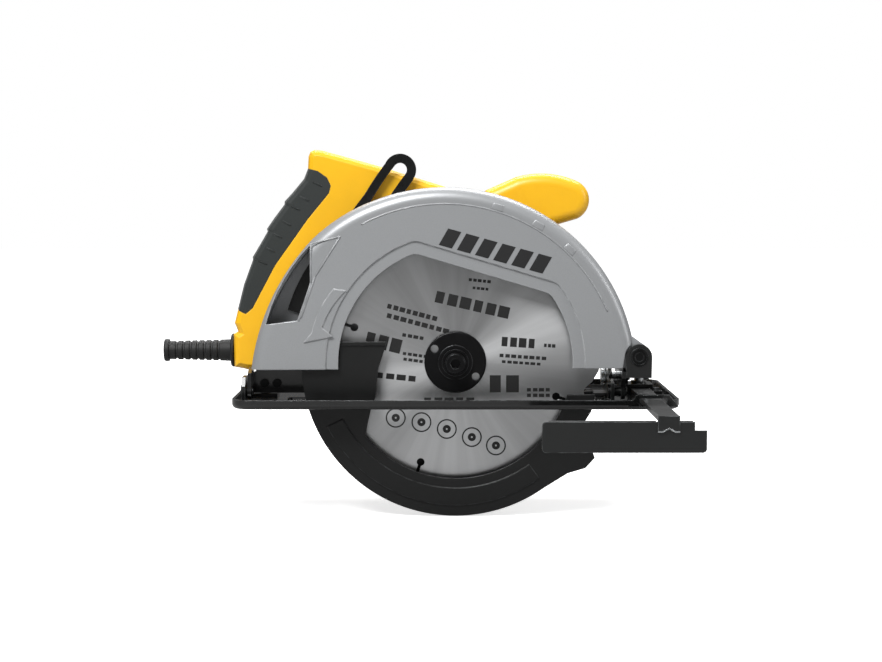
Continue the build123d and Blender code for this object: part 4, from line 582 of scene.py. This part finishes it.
def arc_through(a: tuple[float, float], b: tuple[float, float],
                c: tuple[float, float]) -> tuple[float, float, float]:
    """Circle through three points of the side view.

    Returns:
        Centre x, centre z and radius, in millimetres.
    """
    (ax, ay), (bx, by), (cx, cy) = a, b, c
    d = 2 * (ax * (by - cy) + bx * (cy - ay) + cx * (ay - by))
    a2, b2, c2 = ax * ax + ay * ay, bx * bx + by * by, cx * cx + cy * cy
    ux = (a2 * (by - cy) + b2 * (cy - ay) + c2 * (ay - by)) / d
    uy = (a2 * (cx - bx) + b2 * (ax - cx) + c2 * (bx - ax)) / d
    return ux, uy, math.hypot(ax - ux, ay - uy)


# ------------------------------------------------------------------------------------ sub-assemblies


@dataclass
class Shoe:
    """Pressed shoe with what is riveted to it."""

    def build(self) -> None:
        """Dresses the shoe, its brackets and rivets."""
        dress(SHOE_ENAMEL, "shoe_plate", "fence_saddle")
        dress(BRACKET_ENAMEL, "front_bevel_quadrant", "rear_bevel_bracket")
        dress(PIN_OXIDE, "bevel_pivot_pins", "shoe_rivets")


@dataclass
class RipFence:
    """Fence bar, its face plate and the clamp.

    Args:
        notch: the toothed lower edge of the bent end, from its middle and its lowest point, in millimetres.
        edge: height of the bare sheared edge.
    """

    notch: tuple[tuple[float, float], ...] = ((-6.4, 0.0), (-3.5, 0.0), (0.0, 1.9), (3.5, 0.0), (6.4, 0.0))
    edge: float = 0.9

    def build(self) -> None:
        """Dresses the fence and its clamp, and bares the sheared edge of the sight notch."""
        dress(FENCE_ENAMEL, "fence_bar", "fence_plate")
        dress(ZINC, "fence_clamp_screw")
        dress(BLACK_NYLON, "fence_clamp_knob")
        self.notch_edge()

    def notch_edge(self) -> None:
        """Bright strip along the toothed lower edge of the bar's bent end."""
        low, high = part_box("fence_bar")
        piece = Piece("sight_notch_edge", "fence", ZINC, "zinc_steel")
        middle, face = (low.x + high.x) / 2, low.y - 0.15 * MM
        notch = [(x * MM, z * MM) for x, z in self.notch]
        drop = Vector((0, 0, -self.edge * MM))
        for (x0, z0), (x1, z1) in zip(notch, notch[1:]):
            a, b = (Vector((middle + x, face, low.z + z)) for x, z in ((x0, z0), (x1, z1)))
            piece.plate([a, b, b - drop, a - drop], Vector((0, 0.3 * MM, 0)))
        piece.finished()


@dataclass
class TiltFrame:
    """What tilts with the saw but doesn't drop with it.

    Args:
        rings: inner and outer radius and height of the turned rings on the pivot pin's head.
    """

    rings: tuple[tuple[float, float, float], ...] = ((4.6, 5.6, 0.5), (2.4, 3.1, 0.3))

    def build(self) -> None:
        """Dresses the tilting frame."""
        dress(BRACKET_ENAMEL, "front_tilt_yoke", "depth_guide", "rear_tilt_plate")
        dress(PIN_OXIDE, "front_pivot_pin")
        dress(PIN_OXIDE, "guide_rivets")
        dress(ZINC, "bevel_clamp_bolt", "depth_lock_stud")
        dress(BLACK_NYLON, "bevel_lock_lever", "depth_lock_lever")
        self.pin_rings()

    def pin_rings(self) -> None:
        """Turned rings on the head of the front pivot pin."""
        low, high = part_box("front_pivot_pin")
        head = Vector(((low.x + high.x) / 2, low.y, (low.z + high.z) / 2))
        piece = Piece("pivot_pin_rings", "tilt_frame", PIN_OXIDE, "black_steel")
        for inner, outer, raise_mm in self.rings:
            piece.turn([(inner, 0.1), (inner, -raise_mm), (outer, -raise_mm), (outer, 0.1)], head, ACROSS,
                       Vector((1, 0, 0)), steps=48, closed=True)
        piece.round_edges(0.12, 2)
        piece.finished()


@dataclass
class UpperGuard:
    """Painted casting over the blade, with its raised beads, pads and printed stripes.

    Args:
        face: near face of the casting, in millimetres behind the blade.
        rim: three points of the front arc of its outline.
        bead_inset: distance of the rim's bead inside the outline.
    """

    face: float = -14.1
    rim: tuple[tuple[float, float], ...] = ((-50.4, 103.0), (37.7, 102.6), (111.8, 17.0))
    bead_inset: float = 10.4
    bead_r: float = 0.55

    def build(self) -> None:
        """Dresses the casting and adds its raised details."""
        dress(GUARD_PAINT, "upper_guard")
        dress(DUCT, "chip_deflector")
        self.rim_bead()
        self.chip_frame()
        self.rim_pads()
        self.stripes()

    def bead_profile(self, radius: float) -> list[tuple[float, float]]:
        """Half-round profile of a bead at a radius, standing on the near face."""
        half_round = [polar(self.bead_r, degrees) for degrees in range(0, 181, 30)]
        return [(radius + out, 0.1 - 0.8 * up) for out, up in half_round]

    def rim_bead(self) -> None:
        """Fine cast bead that follows the rim a finger's width inside it."""
        cx, cz, radius = arc_through(*self.rim)
        piece = Piece("guard_rim_bead", "saw_body", GUARD_PAINT, "guard_casting")
        start, end = (math.degrees(math.atan2(z - cz, x - cx)) for x, z in (self.rim[0], self.rim[2]))
        start += 7.0
        first = Vector((math.cos(math.radians(start)), 0, math.sin(math.radians(start))))
        piece.turn(self.bead_profile(radius - self.bead_inset), at(cx, self.face, cz), ACROSS, first,
                   sweep=start - end - 10.0, steps=96)
        ends = [e for e in piece.mesh.edges if e.is_boundary]
        bmesh.ops.holes_fill(piece.mesh, edges=ends)
        piece.finished()

    def chip_frame(self) -> None:
        """Raised ridge along the front of the chip window and round the wedge beside it."""
        piece = Piece("chip_window_ridge", "saw_body", GUARD_PAINT, "guard_casting")
        top, tip = (-90.9, 75.4), (-72.3, 80.2)
        lines = ((top, tip), (tip, (-88.3, 55.0)), ((-88.3, 55.0), (-97.2, 29.0)),
                 (top, (-90.9, 51.0)), ((-90.9, 51.0), (-98.8, 27.0)))
        for (x0, z0), (x1, z1) in lines:
            along = Vector((x1 - x0, 0, z1 - z0)).normalized()
            side = Vector((-along.z, 0, along.x)) * 0.5 * MM
            a, b = at(x0, self.face + 0.1, z0), at(x1, self.face + 0.1, z1)
            piece.plate([a - side, b - side, b + side, a + side], Vector((0, -0.55, 0)) * MM)
        piece.round_edges(0.2, 2)
        piece.finished()

    def rim_pads(self) -> None:
        """Three small cast pads on the rounded rim, over the front of the blade."""
        cx, cz, radius = arc_through(*self.rim)
        piece = Piece("guard_rim_pads", "saw_body", GUARD_PAINT, "guard_casting")
        for angle in (73.0, 59.0, 46.5):
            corners = [polar(radius + inset, angle + turn, cx, cz)
                       for inset, turn in ((-9.6, -2.1), (-9.6, 2.1), (-5.4, 1.7), (-5.4, -1.7))]
            piece.plate([at(x, self.face + 1.4, z) for x, z in corners], Vector((0, -1.7, 0)) * MM)
        piece.round_edges(0.4, 3)
        piece.finished()

    def stripes(self) -> None:
        """Six plain slanted blocks printed on the panel, along its slope."""
        piece = Piece("guard_panel_stripes", "saw_body", PANEL_INK, "guard_casting")
        along, up = sloping_axes(-15.5)
        middle, pitch, width, height, lean = at(25.0, self.face + 0.05, 71.0), 11.8, 8.6, 11.5, 3.0
        for n in range(6):
            base = middle + along * ((n - 2.5) * pitch * MM)
            corners = [(-width / 2 - lean / 2, -height / 2), (width / 2 - lean / 2, -height / 2),
                       (width / 2 + lean / 2, height / 2), (-width / 2 + lean / 2, height / 2)]
            outline = [base + along * (x * MM) + up * (z * MM) for x, z in corners]
            piece.plate(outline, Vector((0, -0.17, 0)) * MM)
        piece.finished()


@dataclass
class LowerGuard:
    """Swinging guard under the shoe."""

    def build(self) -> None:
        """Dresses the lower guard, its ring and spring."""
        dress(LOWER_ENAMEL, "lower_guard")
        dress(SPRING, "guard_retaining_ring", "guard_return_spring")


@dataclass
class BladeGroup:
    """Blade, its flanges, bolt and spindle.

    Args:
        plate_face: near face of the blade plate, in millimetres from its middle.
        ink: thickness of the screen print.
        lines: plain printed bars: middle x, middle z, length, height, slope, and into how many blocks.
        rings: middles of the plain printed rings.
    """

    plate_face: float = -0.8
    ink: float = 0.05
    lines: tuple[tuple[float, float, float, float, float, int], ...] = (
        (15.5, 51.8, 15.0, 1.9, -6, 5), (16.0, 46.8, 11.0, 1.7, -6, 4), (10.5, 36.5, 50.0, 7.4, -13, 6),
        (-27.5, 31.6, 34.0, 3.0, -15, 8), (-24.0, 24.6, 42.0, 3.0, -15, 9), (-27.0, 16.2, 15.0, 2.2, -10, 4),
        (-46.0, 12.4, 25.0, 9.0, -14, 3), (-25.6, 4.4, 17.0, 1.9, -8, 5), (-25.2, 0.8, 17.0, 1.9, -8, 5),
        (-38.0, -9.6, 28.0, 3.6, -6, 4), (40.0, 12.4, 23.0, 6.0, -4, 4), (60.0, 10.4, 8.0, 2.2, -4, 3),
        (43.0, 3.2, 31.0, 2.2, -4, 8), (42.0, -0.6, 26.0, 1.8, -4, 7), (31.0, -14.0, 22.0, 11.0, 0, 2),
        (53.0, -17.8, 16.0, 2.2, 0, 4), (53.0, -21.4, 16.0, 2.2, 0, 4), (-4.0, -24.6, 34.0, 3.6, 0, 5))
    rings: tuple[tuple[float, float], ...] = ((-38.0, -35.8), (-21.6, -38.6), (-5.4, -43.0), (10.6, -48.2),
                                              (26.0, -53.6))

    def build(self) -> None:
        """Dresses the blade group and adds the blade's print."""
        self.print_lines()
        self.print_rings()
        dress(BLADE_STEEL, "saw_blade")
        dress(CARBIDE, "carbide_tips")
        dress(OXIDE, "inner_flange", "outer_flange", "bolt_washer", "blade_bolt")
        dress(BEARING, "spindle")
        dress(GEAR, "driven_gear")

    def print_lines(self) -> None:
        """Printed data as rows of plain blocks."""
        piece = Piece("blade_print_bars", "blade_group", BLADE_INK, "blade_steel")
        for x, z, length, height, slope, blocks in self.lines:
            along, up = sloping_axes(slope)
            middle = at(x, self.plate_face + 0.01, z)
            pitch = length / blocks
            for n in range(blocks):
                base = middle + along * ((n - (blocks - 1) / 2) * pitch * MM)
                half = along * (pitch * (0.37 + 0.05 * ((n * 7) % 3 - 1)) * MM)
                rise = up * (height / 2 * MM)
                piece.plate([base - half - rise, base + half - rise, base + half + rise, base - half + rise],
                            Vector((0, -self.ink, 0)) * MM)
        piece.finished()

    def print_rings(self) -> None:
        """Five plain rings, each with a dot, where the print marks the blade's use."""
        piece = Piece("blade_print_rings", "blade_group", BLADE_INK, "blade_steel")
        for x, z in self.rings:
            face = at(x, self.plate_face + 0.01, z)
            for inner, outer in ((5.5, 6.4), (0.6, 2.6)):
                piece.turn([(inner, 0), (outer, 0), (outer, -self.ink), (inner, -self.ink)], face, ACROSS,
                           Vector((1, 0, 0)), steps=40, closed=True)
        piece.finished()


@dataclass
class Motor:
    """Gear case, motor housing and what turns in them.

    Args:
        radius: outside of the motor housing, in millimetres.
        ribs: how many raised ribs run round each vent field.
        rib_run: where the ribs and vents lie, in millimetres behind the blade.
        screw_angles: places of the end cap's screws about the motor's axis.
        screw_circle: their distance from it.
    """

    radius: float = 42.0
    ribs: int = 7
    rib_run: tuple[float, float] = (58.0, 84.0)
    screw_angles: tuple[float, ...] = (40.0, 140.0, 220.0, 320.0)
    screw_circle: float = 34.0

    def build(self) -> None:
        """Dresses the motor and adds what is moulded on it."""
        self.vent_fields()
        self.joint_bands()
        self.cap_screws()
        dress(CASE_METAL, "gear_case", "gear_case_cover")
        dress(ZINC, "case_screws")
        dress(BEARING, "spindle_bearings", "armature_bearings", "armature_shaft")
        dress(YELLOW, "motor_housing", "motor_end_cap")
        dress(LAMINATION, "field_core", "armature_core")
        dress(COPPER, "field_coils", "commutator")
        dress(BRASS, "brush_holders")
        dress(CARBON, "carbon_brushes")
        dress(BLACK_NYLON, "brush_caps", "spindle_lock_button")
        dress(FAN, "cooling_fan")
        dress(GEAR, "motor_pinion")


    def outward(self, degrees: float) -> Vector:
        """Direction away from the motor's axis; 0 is forward and 90 is up."""
        turn = math.radians(degrees)
        return Vector((math.cos(turn), 0, math.sin(turn)))

    def vent_fields(self) -> None:
        """Raised ribs on the front and rear of the housing, with thin dark strips between them for the air
        vents: painted shade.
        """
        ribs = Piece("motor_vent_ribs", "saw_body", YELLOW, "yellow_nylon")
        # painted shade: thin dark strips on the housing stand for the vent openings; the dark is partly the
        # fan's own plastic seen through them, partly painted shade inside the openings
        slots = Piece("motor_vent_painted_shade", "saw_body", FAN, "black_nylon")
        y0, y1 = self.rib_run
        pitch = 9.0
        for middle in (-12.0, 205.0):
            for n in range(self.ribs):
                angle = middle + (n - (self.ribs - 1) / 2) * pitch
                self.strip(ribs, angle, 1.1, y0, y1, 1.2)
                if n:
                    self.strip(slots, angle - pitch / 2, 1.6, y0 + 2.0, y1 - 2.0, 0.12)
        ribs.round_edges(0.4, 3)
        ribs.finished()
        slots.finished()

    def strip(self, piece: Piece, degrees: float, half: float, y0: float, y1: float, height: float) -> None:
        """Adds a straight strip that stands on the housing along its axis."""
        out = self.outward(degrees)
        across = Vector((-out.z, 0, out.x)) * half * MM
        foot = MOTOR_AXIS + out * ((self.radius - 0.4) * MM)
        a, b = foot.copy(), foot.copy()
        a.y, b.y = SPINDLE.y + y0 * MM, SPINDLE.y + y1 * MM
        piece.plate([a - across, b - across, b + across, a + across], out * ((height + 0.4) * MM))

    def joint_bands(self) -> None:
        """Moulded beads at both ends of the housing, and the shadow line of the end cap."""
        piece = Piece("motor_joint_bands", "saw_body", YELLOW, "yellow_nylon")
        for y, width, height in ((50.4, 3.0, 0.9), (141.0, 3.6, 0.8), (147.6, 1.6, 0.5)):
            centre = Vector((MOTOR_AXIS.x, SPINDLE.y + y * MM, MOTOR_AXIS.z))
            r = self.radius
            piece.turn([(r - 0.3, 0), (r + height * 0.7, 0.1 * width), (r + height, 0.3 * width),
                        (r + height, 0.7 * width), (r + height * 0.7, 0.9 * width), (r - 0.3, width)],
                       centre, ACROSS, Vector((1, 0, 0)), steps=96, closed=True)
        piece.finished()

    def cap_screws(self) -> None:
        """Pan-head screws that hold the end cap, each with a round recess."""
        heads = Piece("end_cap_screws", "saw_body", ZINC, "zinc_steel")
        outer_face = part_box("motor_end_cap")[1].y
        for degrees in self.screw_angles:
            place = MOTOR_AXIS + self.outward(degrees) * (self.screw_circle * MM)
            place.y = outer_face
            profile = [(0.05, -0.3), (3.1, -0.3), (3.3, 0.0), (3.1, 0.7), (2.3, 1.2), (1.1, 1.35), (0.9, 0.5),
                       (0.05, 0.4)]
            heads.turn(profile, place, ACROSS, Vector((1, 0, 0)), steps=28, closed=True)
        heads.finished()


@dataclass
class Handles:
    """Main handle, its grip and switch, and the front handle.

    Args:
        ridges: start x and z of each lip on the grip, and how far it runs forward and down.
    """

    ridges: tuple[tuple[float, float, float, float], ...] = (
        (-95.5, 116.3, 9.6, -4.4), (-103.6, 107.0, 9.4, -4.6), (-109.2, 100.2, 9.2, -3.6),
        (-114.9, 91.2, 9.2, -4.6),
        (-120.6, 82.4, 9.0, -3.6), (-125.4, 74.0, 8.8, -4.4), (-130.2, 65.0, 8.6, -3.4))

    def build(self) -> None:
        """Dresses the handles."""
        dress(YELLOW, "handle_near_shell", "handle_far_shell", "front_handle")
        dress(GRIP, "rubber_grip")
        dress(OXIDE, "handle_screws")
        dress(BLACK_NYLON, "trigger", "lock_button")
        dress(SWITCH, "switch_block")
        self.cord_sleeve()
        self.grip_ridges()

    def cord_sleeve(self) -> None:
        """Moulded strain relief: collar, tapered sleeve with flexing grooves, and a bead at its mouth."""
        low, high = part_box("strain_relief")
        middle = Vector((high.x, (low.y + high.y) / 2, (low.z + high.z) / 2))
        reach = (high.x - low.x) / MM
        profile = [(3.6, 0.0), (6.3, 0.0), (6.3, 7.2), (10.6, 7.3), (11.0, 7.8), (10.9, 8.6), (10.2, 9.4),
                   (7.2, 9.8)]
        for n in range(7):
            start, r = 14.0 + n * 4.6, 7.0 - n * 0.13
            profile += [(r, start), (r - 0.1, start + 2.6), (r - 0.9, start + 3.0), (r - 0.9, start + 4.0),
                        (r - 0.15, start + 4.4)]
        profile += [(5.9, reach - 3.6), (7.1, reach - 3.2), (7.3, reach - 2.6), (7.3, reach - 0.7),
                    (6.9, reach - 0.1), (6.4, reach), (3.9, reach), (3.6, reach - 0.4)]
        piece = Piece("cord_sleeve", "saw_body", SLEEVE, "sleeve_rubber")
        piece.turn(profile, middle, Vector((-1, 0, 0)), Vector((0, 0, 1)), steps=56, closed=True)
        piece.finished(replaces=["strain_relief"], smooth=50)

    def grip_ridges(self) -> None:
        """Pairs of raised lips across the back of the grip, where the fingers lie."""
        piece = Piece("grip_ridges", "saw_body", GRIP, "grip_rubber")
        low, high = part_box("rubber_grip")
        for x, z, dx, dz in self.ridges:
            for face, sign in ((low.y, -1), (high.y, 1)):
                start, end = at(x, 0, z), at(x + dx, 0, z + dz)
                start.y = face - sign * 2.6 * MM
                end.y = face - sign * 0.15 * MM
                mid = start.lerp(end, 0.42)
                mid.y = face - sign * 0.35 * MM
                run = (end - start).normalized()
                wide = Vector((-run.z, 0, run.x)).normalized() * 0.55 * MM
                out = Vector((0, sign * 0.55, 0)) * MM
                for a, b in ((start, mid), (mid, end)):
                    piece.plate([a - wide, b - wide, b + wide, a + wide], out)
        piece.round_edges(0.2, 2)
        piece.finished()


@dataclass
class Studio:
    """White floor and soft lights, with the camera at the side of the blade."""

    aim: tuple[float, float, float] = (-0.0091, -0.035, 0.0467)
    eye: tuple[float, float, float] = (-0.0091, -1.235, 0.1324)
    lens: float = 77.1
    floor_drop: float = 0.4 * MM

    def build(self) -> None:
        """Makes the floor, lights, background and camera."""
        self.floor()
        self.lights()
        self.background()
        self.camera()

    def floor(self) -> None:
        """White table top just under the lowest point of the saw."""
        bm = bmesh.new()
        bmesh.ops.create_grid(bm, x_segments=4, y_segments=4, size=6.0)
        data = bpy.data.meshes.new("floor")
        bm.to_mesh(data)
        bm.free()
        table = bpy.data.objects.new("floor", data)
        table.location.z = CAD_BOX[0].z - self.floor_drop
        bpy.context.scene.collection.objects.link(table)
        white = bpy.data.materials.new("white_laminate_table")
        white.use_nodes = True
        tree = white.node_tree
        tree.nodes.clear()
        seen = add_node(tree, "ShaderNodeLightPath").outputs["Is Camera Ray"]
        shade = add_node(tree, "ShaderNodeMix", {"data_type": "RGBA"},
                         {0: seen, 6: linear("9A9A9A"), 7: linear("FBFBFB")})
        shader = add_node(tree, "ShaderNodeBsdfPrincipled", sockets={
            "Base Color": shade.outputs[2], "Roughness": 0.75, "Emission Color": (1, 1, 1, 1)})
        glow = add_node(tree, "ShaderNodeMapRange", sockets={"Value": seen, "To Min": 0.0, "To Max": 0.72})
        tree.links.new(glow.outputs["Result"], shader.inputs["Emission Strength"])
        add_node(tree, "ShaderNodeOutputMaterial", sockets={"Surface": shader.outputs["BSDF"]})
        data.materials.append(white)

    def lights(self) -> None:
        """Three soft boxes: a large one over the camera, one from the left and one from behind."""
        for name, place, size, power in (
                ("key_box", (-0.55, -1.15, 1.35), (0.8, 0.6), 31.0),
                ("side_box", (1.5, -0.4, 0.6), (0.4, 0.9), 5.0),
                ("back_box", (0.1, 0.75, 1.4), (1.4, 0.5), 24.0)):
            lamp = bpy.data.lights.new(name, "AREA")
            lamp.shape = "RECTANGLE"
            lamp.size, lamp.size_y = size
            lamp.energy = power
            holder = bpy.data.objects.new(name, lamp)
            holder.location = place
            holder.rotation_euler = (Vector(self.aim) - Vector(place)).to_track_quat("-Z", "Y").to_euler()
            bpy.context.scene.collection.objects.link(holder)

    def background(self) -> None:
        """White to the eye; as a light it falls off from the top to the horizon, like a studio tent."""
        world = bpy.data.worlds.new("studio_tent")
        world.use_nodes = True
        tree = world.node_tree
        tree.nodes.clear()
        place = add_node(tree, "ShaderNodeTexCoord")
        height = add_node(tree, "ShaderNodeSeparateXYZ", sockets={"Vector": place.outputs["Generated"]})
        tent = add_node(tree, "ShaderNodeMapRange", sockets={
            "Value": height.outputs["Z"], "From Min": -0.05, "From Max": 0.9, "To Min": 0.04, "To Max": 0.52})
        seen = add_node(tree, "ShaderNodeLightPath").outputs["Is Camera Ray"]
        strength = add_node(tree, "ShaderNodeMix", {"data_type": "FLOAT"},
                            {0: seen, 2: tent.outputs["Result"], 3: 1.0})
        light = add_node(tree, "ShaderNodeBackground", sockets={
            "Color": (1, 1, 1, 1), "Strength": strength.outputs[0]})
        add_node(tree, "ShaderNodeOutputWorld", sockets={"Surface": light.outputs["Background"]})
        bpy.context.scene.world = world

    def camera(self) -> None:
        """Camera at blade height, a little above the level of the shoe, looking across the saw."""
        data = bpy.data.cameras.new("camera")
        data.lens = self.lens
        data.sensor_width = 36.0
        data.clip_start, data.clip_end = 0.01, 50.0
        camera = bpy.data.objects.new("camera", data)
        camera.location = self.eye
        camera.rotation_euler = (Vector(self.aim) - Vector(self.eye)).to_track_quat("-Z", "Y").to_euler()
        bpy.context.scene.collection.objects.link(camera)
        bpy.context.scene.camera = camera
        bpy.context.scene.view_settings.view_transform = "Standard"


def main() -> None:
    """Builds the saw's sub-assemblies in order, then the studio."""
    logging.basicConfig(level=logging.INFO, format="%(name)s: %(message)s")
    for part in (Shoe(), RipFence(), TiltFrame(), UpperGuard(), LowerGuard(), BladeGroup(), Motor(),
                 Handles(), Studio()):
        part.build()
        LOG.info("%s done", type(part).__name__)


if __name__ == "__main__":
    main()
